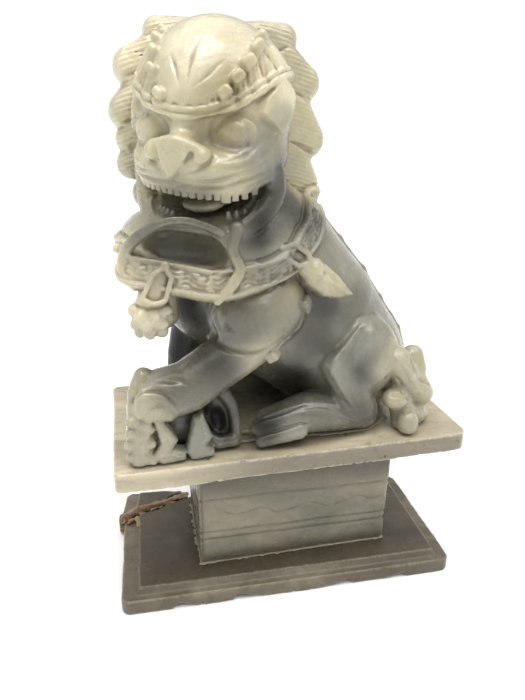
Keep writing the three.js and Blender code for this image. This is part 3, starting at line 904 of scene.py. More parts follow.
def near_paw(stone):
    """Two rounded toes that bear down on the cub."""
    add = stone.add
    outline = [(-10.8, -6), (-10.6, 2.8), (-7.5, 6.8), (-1.5, 6.6), (4, 2), (8.5, -4), (4, -9), (-5, -8.6)]
    add(Plate((-60.3, -34.5, 108.6), (1, 0, 0), (0, 0.1, 1), outline, 15, 5), 1.6, 5)
    add(Limb([(-66.5, -30, 117), (-69.3, -31.5, 110), (-70, -32, 104)], [4.2, 4.4, 3.6]), 1.2, 4)
    crest = [
        (-71, -40, 108), (-70.6, -41.5, 112.4), (-67.1, -42, 115.1), (-61.6, -42.5, 113.9),
        (-56.2, -42, 108.9), (-54.1, -41, 104.8),
    ]
    stone.draw([(x, y + 1, z + 1.8) for x, y, z in crest], 1.7, -0.9, 20, 0.4)
    stone.draw([(x, y, z - 0.6) for x, y, z in crest], 2.2, 2.0, 20, 0.35)
    stone.draw([(-67, -42, 106), (-62, -42, 109), (-57.5, -42, 106)], 3.2, -0.7, 12, 0.5)
    stone.draw([(-73, -35, 104), (-73, -36.5, 111), (-69.5, -37, 117.5)], 1.4, -1.0, 12, 0.3)
    stone.draw([(-64, -38, 119.5), (-56, -38, 118), (-47, -38, 115)], 3.0, -0.8, 14, 0.5)
    # far paw: three short toes
    for k in (-1, 0, 1):
        add(Limb([(-55, 15 + 6.5 * k, 88), (-62.5, 15 + 6.5 * k, 85.5)], [4.4, 3.6]), 0.6, 4)


def cub(stone):
    """The cub: curly head and back at the left, two crooked legs, and its cupped tail."""
    add = stone.add
    add(Limb([(-69, -33, 104), (-69.5, -34.5, 92), (-69.5, -35, 83.5)], [5.2, 5.8, 5.6]), 1.5, 4)
    curls = [
        (-72.2, 101), (-67, 99), (-73.4, 95.5), (-68.6, 94), (-74, 90), (-69.5, 88.5), (-73.2, 84.5),
        (-67.2, 83.5), (-65.2, 90), (-70.6, 81.6), (-65.6, 97), (-65, 81.8),
    ]
    for k, (x, z) in enumerate(curls):
        add(Egg((x, -38.0 - 0.6 * (k % 2), z), (2.9 - 0.4 * (k % 3), 2.1, 2.2 + 0.4 * (k % 2))), 1.2, 4)
    stone.draw([(-70, -42, 87.5), (-66, -42, 86), (-64, -40, 88)], 0.8, -0.8, 8, 0.2)
    legs = [
        ([(-64.5, 103), (-60.3, 101.4), (-54.4, 91), (-56.6, 87.2), (-51.3, 85), (-51.2, 81.5), (-61.5, 80),
          (-65, 84), (-61.6, 90)], -36.5),
        ([(-47.4, 100), (-43.8, 102), (-39.8, 90.8), (-42.4, 86.9), (-38.9, 84), (-39.4, 81.4),
          (-48.8, 80.2), (-51, 84.6)], -36),
    ]
    for outline, y in legs:
        add(Plate((0, y, 0), (1, 0, 0), (0, 0, 1), outline, 9, 2.4), 0.6, 4)
    stone.draw([(-62, -42, 99), (-57, -42, 92), (-60, -42, 89.5)], 1.0, 0.8, 12, 0.3)
    stone.draw([(-45, -42, 98), (-42.5, -42, 91.5), (-46, -42, 87.5)], 1.0, 0.8, 12, 0.3)
    stone.draw([(-63, -42, 84.5), (-57, -42, 85.6), (-52.5, -42, 83.5)], 1.0, 0.6, 12, 0.3)
    # cupped piece beside them
    add(Limb([(-36, -23, 101), (-34, -24, 84)], [5.5, 6.5]), 2)
    outer = [(-33, -27, 105), (-29.5, -28.5, 99), (-28, -29.5, 90), (-28.5, -30, 82)]
    add(Limb(curve(outer, 9), [3.2, 3.0, 2.8, 2.6, 2.6, 2.6, 2.7, 2.9, 3.0]), 0.8, 4)
    add(Limb([(-41, -31, 88), (-36, -33, 84.5), (-30, -32, 84)], [2.4, 3.2, 3.0]), 1.2, 4)
    stone.cut(Egg((-36, -31.5, 93.6), (4.5, 6, 6.4), turn(0, -14)), 1.6, 4)


def hind_foot(stone, y, out):
    """Three toes at the end of a foot; out is the sign of its outer side."""
    add = stone.add
    toes = [
        ((2, y - out, 94), (-14, y - out, 91), 5.0, 3.0),
        ((2, y + 4 * out, 92.5), (-19.5, y + 4 * out, 87.6), 5.4, 2.6),
        ((-1, y + 7.5 * out, 87.5), (-17.5, y + 8.5 * out, 83.8), 5.0, 2.8),
    ]
    for start, end, root, tip in toes:
        add(Limb([start, end], [root, tip]), 2.0, 5)
    grooves = [
        ([(-21, y + 8 * out, 86), (-8, y + 9.5 * out, 89.3), (5, y + 9 * out, 91)], 1.5, -1.9),
        ([(-21, y + 4 * out, 91), (-8, y + 5 * out, 94.5), (4, y + 5 * out, 96.8)], 1.4, -1.5),
        ([(-2, y + 9 * out, 96), (8, y + 10 * out, 97), (20, y + 9 * out, 92), (32, y + 9 * out, 86)],
         1.8, 0.8),
    ]
    for points, width, height in grooves:
        stone.draw(points, width, height, 14, 0.4)
    stone.cut(Egg((-1.5, y + 12 * out, 81), (4.0, 5, 2.8)), 0.8, 3)


def haunch(stone, y, out):
    """The faceted outer side of a thigh."""
    edge = [(29, y + 9 * out, 134.5), (22, y + 13 * out, 127), (13.5, y + 16 * out, 116.5),
            (17, y + 16 * out, 107), (28, y + 15 * out, 92)]
    stone.draw(edge, 3.2, 1.2, 16, 0.4)
    stone.draw([(x + 4.5, y1, z) for x, y1, z in edge[:4]], 4.5, -0.9, 16, 0.3)
    facet = [(31, y + 12 * out, 134), (24.5, y + 15 * out, 121), (25.5, y + 16 * out, 108)]
    stone.draw(facet, 1.8, 0.35, 12, 0.5)


def tail(stone):
    """A clump of curling locks behind the near haunch."""
    add = stone.add
    locks = [
        ([(43.5, -25, 117.5), (48, -28, 113.5), (52.5, -29, 108)], [4.6, 6.6, 6.0]),
        ([(58.5, -23, 113), (58.5, -25.5, 107.5)], [5.4, 5.8]),
        ([(52, -28, 106), (58.5, -28, 100.5), (62.5, -27, 95.5), (61.5, -26.5, 91.5)], [5.6, 6.6, 6.2, 4.4]),
        ([(50.5, -27, 97), (53, -29.5, 88), (52, -31.5, 84)], [6.0, 5.8, 5.2]),
        ([(54, -30, 86.5), (60.5, -29, 84.4), (64.5, -27, 83.4)], [4.2, 4.3, 3.6]),
        ([(53.5, -30, 88), (61, -28, 87.5)], [4.4, 4.0]),
    ]
    for points, radii in locks:
        add(Limb(points, radii), 1.6, 5)
    add(Egg((47, -32.0, 96), (6.6, 5.4, 5.0), turn(pitch=8)), 1.6, 4)
    add(Egg((52.2, -37.0, 85.4), (5.0, 5.0, 6.0)), 1.8, 4)
    grooves = [
        [(53.8, -32, 119), (54, -34, 112.5), (56.5, -34, 106.5)],
        [(40, -31, 108), (47, -35, 104), (53, -36, 98.5), (57, -36, 92)],
        [(57, -35, 107), (62, -34, 103.6), (67, -32, 101)],
        [(41, -35, 100), (47, -37, 101), (53.5, -36, 97)],
        [(44, -36, 91), (50, -37, 91), (56, -36, 92)],
    ]
    for points in grooves:
        stone.draw(points, 1.5, -1.2, 14, 0.25)
    stone.draw([(44, -33, 118), (50, -35, 112), (55, -36, 104), (61, -35, 97)], 2.0, 0.7, 18, 0.4)


def back_ridge(stone):
    """A raised strip with low swellings down the spine."""
    ridge = [(10, 0, 183), (25, 0, 171), (39, 0, 155), (48, 0, 137), (55, 0, 117), (58, -4, 103)]
    path = stone.draw(ridge, 4.4, 1.2, 40, 0.1)
    out = across(stone, stone.onto(path))
    for shift in (-2.4, 2.4):
        stone.draw(path + shift * out, 0.9, -0.9, 40, 0.1)
    for k in range(3, 38, 7):
        at = stone.onto([path[k]])[0]
        stone.add(Egg(at - (1.9, 0, 1.9), (3.2, 2.4, 3.2)), 1.2, 3)


def lion(step):
    stone = Stone((-80, -54, FLOOR - 4), (74, 46, 256), step)
    masses(stone)
    mane(stone)
    head(stone)
    steps = (
        under_collar, collar, ribbons, crown, ears, eyes, nose, muzzle, comb, shoulder, trimmings,
        near_paw, cub,
    )
    for carve in steps:
        carve(stone)
    for y, out in ((-20, -1), (22, 1)):
        hind_foot(stone, y + 7 * out, out)
        haunch(stone, y, out)
    tail(stone)
    back_ridge(stone)
    stone.weather(0.12, 16, 3)
    stone.weather(0.04, 4, 5)
    below = Form((-90, -60, FLOOR - 6), (90, 60, FLOOR), lambda x, y, z: z - FLOOR + 0 * x + 0 * y)
    stone.cut(below)
    return stone


# The stand

PLATE_SIZE = (165, 75.2)
BLOCK_SIZE = (95.7, 49.3)

# Each seat is a turn in degrees and a slide along X and Y: the parts were glued up by hand
PLATE_SEAT = (-2.6, 0.3, -4.5)
CORNER_SEAT = (-9.6, -5.0, -9.4)
BLOCK_SEAT = (-1.2, 3.2, -2.3)

BREAK = [(-95, 18), (-84, 20.5), (-75, 23.5), (-66, 25.5), (-57, 30), (-48, 34.5), (-40, 44)]
CORNER_SPREAD = 6.0                   # how much wider the corner is than the CAD's


def grid_for(node, margin=2.5):
    low, high = mm_box(node)
    return Stone(low - margin, high + margin, STAND_STEP)


def block_box(node, spare=0.0):
    """A box of the block's length and width about the middle, as high as a node."""
    low, high = mm_box(node)
    x, y = BLOCK_SIZE[0] / 2 + spare, BLOCK_SIZE[1] / 2 + spare
    return np.array([-x, -y, low[2]]), np.array([x, y, high[2]])


def seated(verts, seat):
    """Turned about Z and slid."""
    angle, x, y = seat
    return verts @ turn(yaw=angle).T + (x, y, 0)


def chip_edges(stone, corners, count, size, seed):
    """Small chips at random places along the edges between corners."""
    draw = np.random.default_rng(seed)
    ends = list(zip(corners, corners[1:]))
    for _ in range(count):
        a, b = ends[draw.integers(len(ends))]
        spot = np.array(a) + draw.uniform() * (np.array(b) - np.array(a)) + draw.normal(0, 0.25, 3)
        radii = size * draw.uniform(0.3, 1.0) * np.array([draw.uniform(0.8, 2.2), 1.0, 0.8])
        stone.cut(Egg(spot, radii, turn(*draw.uniform(-60, 60, 3))), 0.3, 3)


def rectangle(x, y, z):
    """The corners of a level rectangle, back to the first."""
    return [(-x, -y, z), (x, -y, z), (x, y, z), (-x, y, z), (-x, -y, z)]


def whole_plate():
    """The base plate before it broke: border, cove, raised panel and scooped foot."""
    length, width = PLATE_SIZE
    top = mm_box("base_plate")[1][2]
    low, high = (-length / 2 - 3, -width / 2 - 3, -3), (length / 2 + 3, width / 2 + 3, top + 4)
    stone = Stone(low, high, STAND_STEP)
    border = 7.5
    inset = 8.0, 4.3                   # from the plate's edge to the panel's
    stone.add(Block((0, 0, border / 2), (length / 2, width / 2, border / 2), 0.7))
    for x, y in ((-1, -1), (-1, 1), (1, -1), (1, 1)):
        spot = (x * (length / 2 + 0.3), y * (width / 2 + 0.3), 4)
        stone.cut(Block(spot, (2.2, 2.2, 9), 0.2, turn(yaw=45)), 1.0, 4)
    half = (length / 2 - inset[0], width / 2 - inset[1], top / 2 - 1)
    stone.add(Block((0, 0, top / 2 + 1), half, 0.5), 3.2)
    deep = 3.0
    spans = [(side * a, side * b) for a, b in ((11, 30), (43, 59)) for side in (-1, 1)]
    for inner, outer in spans:
        along = outer - inner
        toward = np.sign(along)
        outline = [
            (inner, -3), (inner, 0), (inner + 0.45 * along, 0.5 * deep),
            (inner + 0.75 * along, 0.95 * deep), (outer - 2.4 * toward, deep),
            (outer - 0.6 * toward, 0.7 * deep), (outer, 0), (outer, -3),
        ]
        for side in (-1, 1):
            centre = (0, side * (width / 2 - 2), 0)
            stone.cut(Plate(centre, (1, 0, 0), (0, 0, 1), outline, 14, 0.3), 0.4, 3)
    for span in (8, 22), (-8, -22):
        outline = [
            (span[0], -3), (span[0], 0), (span[0] * 1.9, deep * 0.8), (span[1], deep),
            (span[1] * 1.1, -3),
        ]
        for side in (-1, 1):
            centre = (side * (length / 2 - 2), 0, 0)
            stone.cut(Plate(centre, (0, 1, 0), (0, 0, 1), outline, 14, 0.3), 0.3, 3)
    notch = [(-2.2, -2), (0, 2.2), (2.2, -2)]
    for side in (-1, 1):
        stone.cut(Plate((0, side * width / 2, 0), (1, 0, 0), (0, 0, 1), notch, 12, 0.2), 0.3, 3)
    stone.weather(0.16, 22, 11)
    stone.weather(0.05, 5, 12)
    x, y = length / 2, width / 2
    chip_edges(stone, rectangle(x, y, border), 40, 0.8, 21)
    chip_edges(stone, rectangle(x, y, 0.3), 30, 0.9, 22)
    chip_edges(stone, rectangle(x - inset[0], y - inset[1], top), 50, 0.5, 23)
    return stone


def beyond_break(offset, seed, low, high):
    """The side of the broken corner, past a rough line that is moved back by offset."""
    draw = np.random.default_rng(seed)
    line = curve([(x, y + offset, 0) for x, y in BREAK], 60)[:, :2]
    line = line + draw.normal(0, 0.28, line.shape)
    outline = np.vstack([line, [(-40, 70), (-110, 70)]])

    def rule(x, y, z):
        lean = 0.12 * z + 0.35 * np.sin(1.3 * z + 0.4 * x)
        return outline_distance(outline, x, y + lean)

    return Form(low, high, rule)


def plate_pieces():
    """The two pieces of the plate and the old glue between them."""
    whole = whole_plate()
    low = whole.low
    high = low + whole.step * (np.array(whole.field.shape) - 1)
    main, corner, glue = whole.blank(), whole.blank(), whole.blank()
    main.field, corner.field = whole.field.copy(), whole.field.copy()
    main.cut(beyond_break(0, 31, low, high), 0.4)
    left = beyond_break(1.4, 32, low, high)
    away = Form(low, high, lambda x, y, z: -left.distance(x, y, z))
    corner.cut(away, 0.4)
    # glue fills the wedge of the crack and stands over it in ragged layers, thickest at the outer end
    for depth in (2, 5, 8):
        for back in (0.9, 2.6, 4.2):
            crack = [(x, y + back * (-45 - x) / 38, depth) for x, y in BREAK[1:-1]]
            glue.add(Limb(curve(crack, 14), 1.5), 0.8, 4)
    ridge = [
        (-82.8, 22.0, 6.2), (-80.5, 23.2, 8.8), (-76.5, 24.8, 11.0), (-70, 26.4, 11.6),
        (-62, 28.6, 11.7), (-53, 33.0, 11.5), (-47, 36.5, 11.2),
    ]
    girth = np.interp(np.arange(18), [0, 4, 9, 17], [3.2, 3.0, 2.0, 1.0])
    glue.add(Limb(curve(ridge, 18), girth), 0.8, 4)
    draw = np.random.default_rng(33)
    spine = curve(ridge, 60)
    for _ in range(70):
        share = draw.uniform() ** 1.4
        at = int(share * 56)
        spot = spine[at] + draw.normal(0, (1.2, 2.1, 0.3), 3)
        ahead = spine[at + 3] - spine[at]
        yaw = np.degrees(np.arctan2(ahead[1], ahead[0])) + draw.uniform(-14, 14)
        radii = np.array([draw.uniform(2.0, 5.0), draw.uniform(0.5, 1.1), draw.uniform(0.4, 0.9)])
        radii = radii * (1.25 - 0.6 * share)
        glue.add(Egg(spot, radii, turn(yaw, draw.uniform(-9, 9))), 0.3, 3)
    glue.cut(Egg((-80.2, 26.6, 11.4), (3.0, 2.0, 2.6)), 0.6, 3)
    # a drip down the panel in front of the crack
    drips = [((-75.4, 18.5, 11.2), 1.6), ((-74.6, 15.5, 11.3), 1.3), ((-74.4, 13.2, 11.3), 1.5)]
    for spot, size in drips:
        glue.add(Egg(spot, (size, size * 1.4, 0.7)), 0.8, 3)
    above = Form((-95, 5, -9), (-36, 52, 0.4), lambda x, y, z: z - 0.4 + 0 * x + 0 * y)
    glue.cut(above)
    return main, corner, glue


def pedestal():
    """The block, with its engraved lines; the far sides repeat the near ones."""
    low, high = block_box("pedestal_block")
    stone = Stone(low - 2.5, high + 2.5, STAND_STEP)
    half = (high - low) / 2
    stone.add(Block((low + high) / 2, half, 0.9))
    stone.weather(0.22, 26, 41)
    stone.weather(0.07, 7, 42)
    x, y = half[0], half[1]
    wave = [
        (-41, 46.6), (-36, 41.6), (-30, 39), (-24, 39.6), (-18, 41), (-14, 39.6), (-10, 37.4),
        (-4, 38), (6, 40.7), (11, 39.2), (16, 36.6), (22, 37.6), (31, 41), (35, 40), (39, 38.3),
        (44, 39), (46.4, 41),
    ]
    hook = [(-42, 39), (-39.6, 40.4), (-37.6, 39.4), (-38.6, 38.4)]
    # level cuts: height at the left and right end, width and depth
    levels = [(48.9, 47.7, 1.1, 0.55), (30.3, 28.9, 0.95, 0.75), (26.1, 24.7, 1.05, 0.85)]
    # short scratches: middle, height and length
    nicks = [
        (-31, 34.4, 4), (-27, 44, 4), (-4, 43.6, 5), (3, 33.6, 3), (12, 43, 4), (27, 34, 4),
        (22, 44.4, 5), (35, 44.5, 3), (-12, 21, 4), (28, 20, 3), (-36, 19.6, 3), (8, 54, 5),
        (-20, 55.5, 4),
    ]
    for side in (-1, 1):
        for left, right, width, depth in levels:
            middle = (left + right) / 2 + 0.2
            cut = [(-x - 0.3, side * y, left), (0, side * y, middle), (x + 0.3, side * y, right)]
            stone.draw(cut, width, -depth, 60, 0.0)
            z = right if side > 0 else left
            end = [(side * x, -y - 0.3, z), (side * x, 0, z + 0.3), (side * x, y + 0.3, z)]
            stone.draw(end, width, -depth, 36, 0.0)
        stone.draw([(a, side * y, z) for a, z in wave], 0.75, -0.65, 110, 0.03)
        stone.draw([(a, side * y, z) for a, z in hook], 0.6, -0.4, 10)
        stone.draw([(side * x, 0.46 * a, z) for a, z in wave], 0.75, -0.6, 60, 0.05)
        for a, z, length in nicks:
            reach = length / 2
            spots = [(a - reach, side * y, z), (a, side * y, z + 0.3), (a + reach, side * y, z)]
            stone.draw(spots, 0.55, -0.28, 8, 0.5)
    for z in (low[2] + 0.2, high[2] - 0.2):
        chip_edges(stone, rectangle(x, y, z), 16, 0.7, 43)
    for k, (a, b) in enumerate(((-x, -y), (x, -y), (x, y), (-x, y))):
        chip_edges(stone, [(a, b, low[2]), (a, b, high[2])], 7, 0.7, 50 + k)
    return stone


def slab():
    """The slab, with worn edges, rounded corners and a corner chipped off."""
    stone = grid_for("top_slab")
    low, high = mm_box("top_slab")
    half = (high - low) / 2
    stone.add(Block((low + high) / 2, half, 0.8))
    x, y, top, foot = half[0], half[1], high[2], low[2]
    for a, b, size in ((-1, -1, 1.6), (-1, 1, 1.8), (1, 1, 2.0), (1, -1, 3.2)):
        spot = (a * (x + 0.4), b * (y + 0.4), (top + foot) / 2)
        stone.cut(Block(spot, (size, size, 9), 0.2, turn(yaw=45)), 1.6, 4)
    stone.cut(Block((x + 1.5, -y - 0.5, top + 1), (7, 3.2, 3.2), 0.8, turn(50, 12, 20)), 1.0, 4)
    stone.cut(Block((x - 4, -y - 1, foot - 0.6), (6, 2.0, 1.6), 0.5, turn(6, 4, 30)), 0.6, 4)
    stone.weather(0.18, 24, 61)
    stone.weather(0.06, 5, 62)
    edges = (rectangle(x, y, top), 45, 0.8, 63), (rectangle(x, y, foot), 60, 1.1, 64)
    for corners, count, size, seed in edges:
        chip_edges(stone, corners, count, size, seed)
    draw = np.random.default_rng(65)
    for _ in range(24):
        spot = (draw.uniform(-x, x), -y, draw.uniform(foot, top))
        stone.cut(Egg(spot, draw.uniform(0.2, 0.7, 3) * (1.8, 1, 1)), 0.2, 2)
    for _ in range(60):
        spot = (draw.uniform(-x, x), draw.uniform(-y, y), top + 0.1)
        stone.cut(Egg(spot, draw.uniform(0.2, 0.6, 3) * (1.8, 1.4, 1)), 0.2, 2)
    return stone


def glue_bed(low, high, outline=None, lumps=70, seed=71, below=3):
    """A thin bed of glue that has been squeezed out unevenly round its rim.

    below is how far down the grid reaches, for runs of glue that are added later."""
    stone = Stone(low - (3, 3, below), high + 3, STAND_STEP)
    middle, half = (low + high) / 2, (high - low) / 2
    if outline is None:
        a, b = half[0] - 0.4, half[1] - 0.4
        outline = [(-a, -b), (a, -b), (a, b), (-a, b)]
    stone.add(Plate(middle, (1, 0, 0), (0, 1, 0), outline, 1.1, 0.4))
    draw = np.random.default_rng(seed)
    ends = list(zip(outline, np.roll(outline, -1, axis=0)))
    for _ in range(lumps):
        a, b = ends[draw.integers(len(ends))]
        u, v = np.array(a) + draw.uniform() * (np.array(b) - np.array(a))
        radii = draw.uniform(0.4, 0.9) * np.array([1.8, 1.2, 0.55])
        stone.add(Egg((middle[0] + u, middle[1] + v, middle[2]), radii), 0.4, 3)
    return stone


def glue_over_block():
    """The upper bed, with thin flaky runs down the block's left end."""
    low, high = block_box("upper_glue_bed", 0.3)
    stone = glue_bed(low, high, seed=72, below=40)
    draw = np.random.default_rng(73)
    left, front = low[0], low[1]
    for k in range(9):
        y = front + 1.0 + 1.5 * k + draw.normal(0, 0.5)
        drop = draw.uniform(4, 26) * (1 - 0.07 * k)
        lean = draw.normal(0, 0.5)
        run = [(left + 0.4, y, high[2] - 0.4), (left + 0.3, y + lean, high[2] - drop / 2),
               (left + 0.4, y + 2 * lean, high[2] - drop)]
        stone.add(Limb(curve(run, 8), np.linspace(0.6, 0.35, 8)), 0.3, 3)
    return stone


def lion_footing():
    """The outline of the bed of glue under the lion, about the middle of its box."""
    low, high = mm_box("lion_glue_bed")
    middle = (low + high) / 2
    outline = [
        (-68, -34), (-48, -35), (-30, -31), (-8, -30), (18, -33), (38, -33), (52, -22),
        (57, 2), (50, 26), (30, 34), (0, 34), (-34, 28), (-60, 20), (-66, -6),
    ]
    return [(0.95 * x - middle[0], 0.95 * y - middle[1]) for x, y in outline]


# Stone and glue finishes

class Finish:
    """The node tree of one material, built a step at a time in millimetres."""

    def __init__(self, name):
        self.material = bpy.data.materials.new(name)
        self.material.use_nodes = True
        self.tree = self.material.node_tree
        self.tree.nodes.clear()
        place = self.node("ShaderNodeTexCoord").outputs["Object"]
        scaled = self.node("ShaderNodeVectorMath", {0: place, "Scale": 1 / MM}, operation="SCALE")
        self.place = scaled.outputs[0]

    def node(self, kind, inputs=None, **settings):
        made = self.tree.nodes.new(kind)
        for key, value in settings.items():
            setattr(made, key, value)
        for key, value in (inputs or {}).items():
            if isinstance(value, bpy.types.NodeSocket):
                self.tree.links.new(value, made.inputs[key])
            else:
                made.inputs[key].default_value = value
        return made

    def math(self, operation, a, b=0.0, clamp=False):
        made = self.node("ShaderNodeMath", {0: a, 1: b}, operation=operation, use_clamp=clamp)
        return made.outputs[0]

    def noise(self, size, detail=4.0, rough=0.55, warp=0.0, stretch=(1, 1, 1)):
        """Cloudy noise of a given size, stretched along an axis where stretch is above 1."""
        inverse = tuple(1 / s for s in stretch)
        place = self.node("ShaderNodeVectorMath", {0: self.place, 1: inverse}, operation="MULTIPLY")
        return self.node("ShaderNodeTexNoise", {
            "Vector": place.outputs[0], "Scale": 1 / size, "Detail": detail,
            "Roughness": rough, "Distortion": warp,
        }).outputs["Fac"]

    def between(self, value, low, high, bottom=0.0, top=1.0):
        """A smooth step of value from low to high."""
        return self.node("ShaderNodeMapRange", {
            "Value": value, "From Min": low, "From Max": high, "To Min": bottom, "To Max": top,
        }, interpolation_type="SMOOTHSTEP").outputs["Result"]

    def shape(self, name):
        """A value that the carving left on the surface."""
        return self.node("ShaderNodeAttribute", attribute_name=name).outputs["Fac"]

    def mix(self, share, a, b, blend="MIX"):
        made = self.node("ShaderNodeMix", data_type="RGBA", blend_type=blend)
        for key, value in ((0, share), (6, a), (7, b)):
            if isinstance(value, bpy.types.NodeSocket):
                self.tree.links.new(value, made.inputs[key])
            elif key == 0:
                made.inputs[key].default_value = value
            else:
                made.inputs[key].default_value = (*value, 1)
        return made.outputs[2]

    def veins(self, size, width, warp=1.5, stretch=(1, 1, 1)):
        """Thin wandering lines, where noise crosses its middle value."""
        off = self.math("ABSOLUTE", self.math("SUBTRACT", self.noise(size, 3, 0.5, warp, stretch), 0.5))
        return self.between(off, 0.0, width, 1.0, 0.0)

    def finish(self, colour, roughness, bumps, glow, glow_radius, coat, polish=1.0):
        """The finished material.

        bumps are pairs of a height in 0..1 and its depth in millimetres, and polish scales the
        glow and the reflections."""
        normal = None
        for height, depth in bumps:
            links = {"Height": height, "Strength": 1.0, "Distance": depth * MM}
            if normal is not None:
                links["Normal"] = normal
            normal = self.node("ShaderNodeBump", links).outputs[0]
        shader = self.node("ShaderNodeBsdfPrincipled", {
            "Base Color": colour, "Roughness": roughness, "Normal": normal,
            "Subsurface Weight": self.math("MULTIPLY", glow, polish),
            "Subsurface Radius": glow_radius, "Subsurface Scale": 0.0035,
            "IOR": 1.5, "Specular IOR Level": self.math("MULTIPLY", 0.5, polish),
            "Coat Weight": self.math("MULTIPLY", coat, polish), "Coat Roughness": 0.16,
        })
        out = self.node("ShaderNodeOutputMaterial", {"Surface": shader.outputs[0]})
        out.is_active_output = True
        return self.material


def soapstone(
    name, base, cloud, fleck, vein, edge, dirt_shade_colour, gloss, glow=0.35, wear=0.5, stretch=(1, 1, 1),
    stain=None, grime_and_shade=0.0, mottled=0.14, veined=0.5, flecked=0.3, polish=1.0,
):
    """Waxed soapstone: two cloudy tones, veins, flecks, pale edges, and hollows darkened with dirt and
    painted shade.

    Without a base it takes the tone that its vertices carry, painted shade included. cloud and the
    dirt-and-shade colour then multiply that tone instead of replacing it, and the darker the tone is, the
    duller the polish."""
    f = Finish(name)
    drift = f.noise(34, 3, 0.5, 0.8, stretch)
    cloudy = f.noise(11, 5, 0.62, 1.2, stretch)
    grain = f.noise(1.6, 3, 0.6)
    hollow_dirt_shade_tone = dirt_shade_colour
    if base:
        colour = f.mix(f.between(drift, 0.38, 0.62), base, cloud)
    else:
        carved = f.node("ShaderNodeAttribute", attribute_name="tone")
        tone = carved.outputs["Color"]
        polish = f.between(carved.outputs["Fac"], 0.0, 0.13, 0.2, 1.0)
        hollow_dirt_shade_tone = f.mix(1.0, tone, dirt_shade_colour, "MULTIPLY")
        colour = f.mix(f.between(drift, 0.38, 0.62), tone, cloud, "MULTIPLY")
    mottle = f.between(cloudy, 0.3, 0.7, 1 - mottled, 1 + 0.6 * mottled)
    shade = f.node("ShaderNodeCombineColor", {0: mottle, 1: mottle, 2: mottle}).outputs[0]
    colour = f.mix(1.0, colour, shade, "MULTIPLY")
    speckle = f.between(f.noise(2.4, 2, 0.5), 0.66, 0.76)
    colour = f.mix(f.math("MULTIPLY", speckle, flecked), colour, fleck)
    threads = f.math("MULTIPLY", f.veins(26, 0.012, 2.2, stretch), f.between(f.noise(19, 2), 0.48, 0.62))
    colour = f.mix(f.math("MULTIPLY", threads, veined), colour, vein)
    if stain:
        patches = f.between(f.noise(17, 5, 0.65, 1.0), 0.6, 0.74)
        colour = f.mix(f.math("MULTIPLY", patches, 0.65), colour, stain)
        specks = f.between(f.noise(3.1, 3, 0.6), 0.68, 0.76)
        colour = f.mix(f.math("MULTIPLY", specks, f.between(drift, 0.45, 0.6, 0.0, 0.7)), colour, stain)
    # Darker where the carving marked grime and painted shade, smeared by noise
    if grime_and_shade:
        grime_shade_smear = f.math("ADD", f.shape("grime_and_shade"), f.math("MULTIPLY", f.math("SUBTRACT", cloudy, 0.5), 0.5))
        colour = f.mix(f.math("MULTIPLY", f.between(grime_shade_smear, 0.05, 1.0), grime_and_shade), colour, dirt_shade_colour)
    worn_away = f.between(grain, 0.3, 0.65, 0.2, 1.0)
    rubbed = f.math("MULTIPLY", f.between(f.shape("edge"), 0.1, 0.9), worn_away)
    colour = f.mix(f.math("MULTIPLY", rubbed, wear), colour, edge)
    # Hollows darkened, partly as dirt and partly as painted shade
    hollow_patchiness = f.between(cloudy, 0.3, 0.6, 0.35, 0.7)
    hollow_dirt_and_shade = f.math("MULTIPLY", f.between(f.shape("hollow"), 0.05, 0.9), hollow_patchiness)
    colour = f.mix(hollow_dirt_and_shade, colour, hollow_dirt_shade_tone)
    scratches = f.veins(5.0, 0.008, 0.3, (5, 1.2, 1))
    colour = f.mix(f.math("MULTIPLY", scratches, 0.25 * wear), colour, edge)
    worn = f.between(f.noise(7, 4, 0.6), 0.35, 0.65, gloss, gloss + 0.2)
    roughness = f.math("ADD", worn, f.math("MULTIPLY", f.shape("hollow"), 0.3), clamp=True)
    bumps = [(f.noise(3.2, 4, 0.6), 0.16), (f.noise(0.7, 3, 0.6), 0.05), (scratches, -0.03)]
    return f.finish(colour, roughness, bumps, glow, (1.0, 0.92, 0.62), 0.35, polish)


def glue_finish(name, base, dark, pale):
    """Old brown glue, crusted and dull."""
    f = Finish(name)
    cloudy = f.noise(3.2, 5, 0.65, 1.0)
    fine = f.noise(0.9, 4, 0.65)
    colour = f.mix(f.between(cloudy, 0.35, 0.65), base, dark)
    colour = f.mix(f.between(fine, 0.55, 0.7, 0.0, 0.6), colour, pale)
    # painted shade: darker in the glue's hollows
    colour = f.mix(f.between(f.shape("hollow"), 0.05, 0.5, 0.0, 0.7), colour, dark)
    colour = f.mix(f.between(f.shape("edge"), 0.1, 0.6, 0.0, 0.5), colour, pale)
    roughness = f.between(fine, 0.3, 0.7, 0.42, 0.72)
    return f.finish(colour, roughness, [(cloudy, 0.35), (fine, 0.15)], 0.25, (1.0, 0.6, 0.35), 0.1)


# Pieces

# The lion's stone runs through these colours; the last, near black, is painted shade
CREAM, HONEY, AMBER = (0.67, 0.6, 0.42), (0.5, 0.455, 0.3), (0.34, 0.28, 0.14)
BUFF, ASH, OLIVE = (0.39, 0.36, 0.25), (0.25, 0.245, 0.195), (0.125, 0.12, 0.088)
UMBER, DEEP_SHADE = (0.07, 0.066, 0.052), (0.01, 0.01, 0.01)

SOFTNESS = 28                         # how gently one colour runs into the next
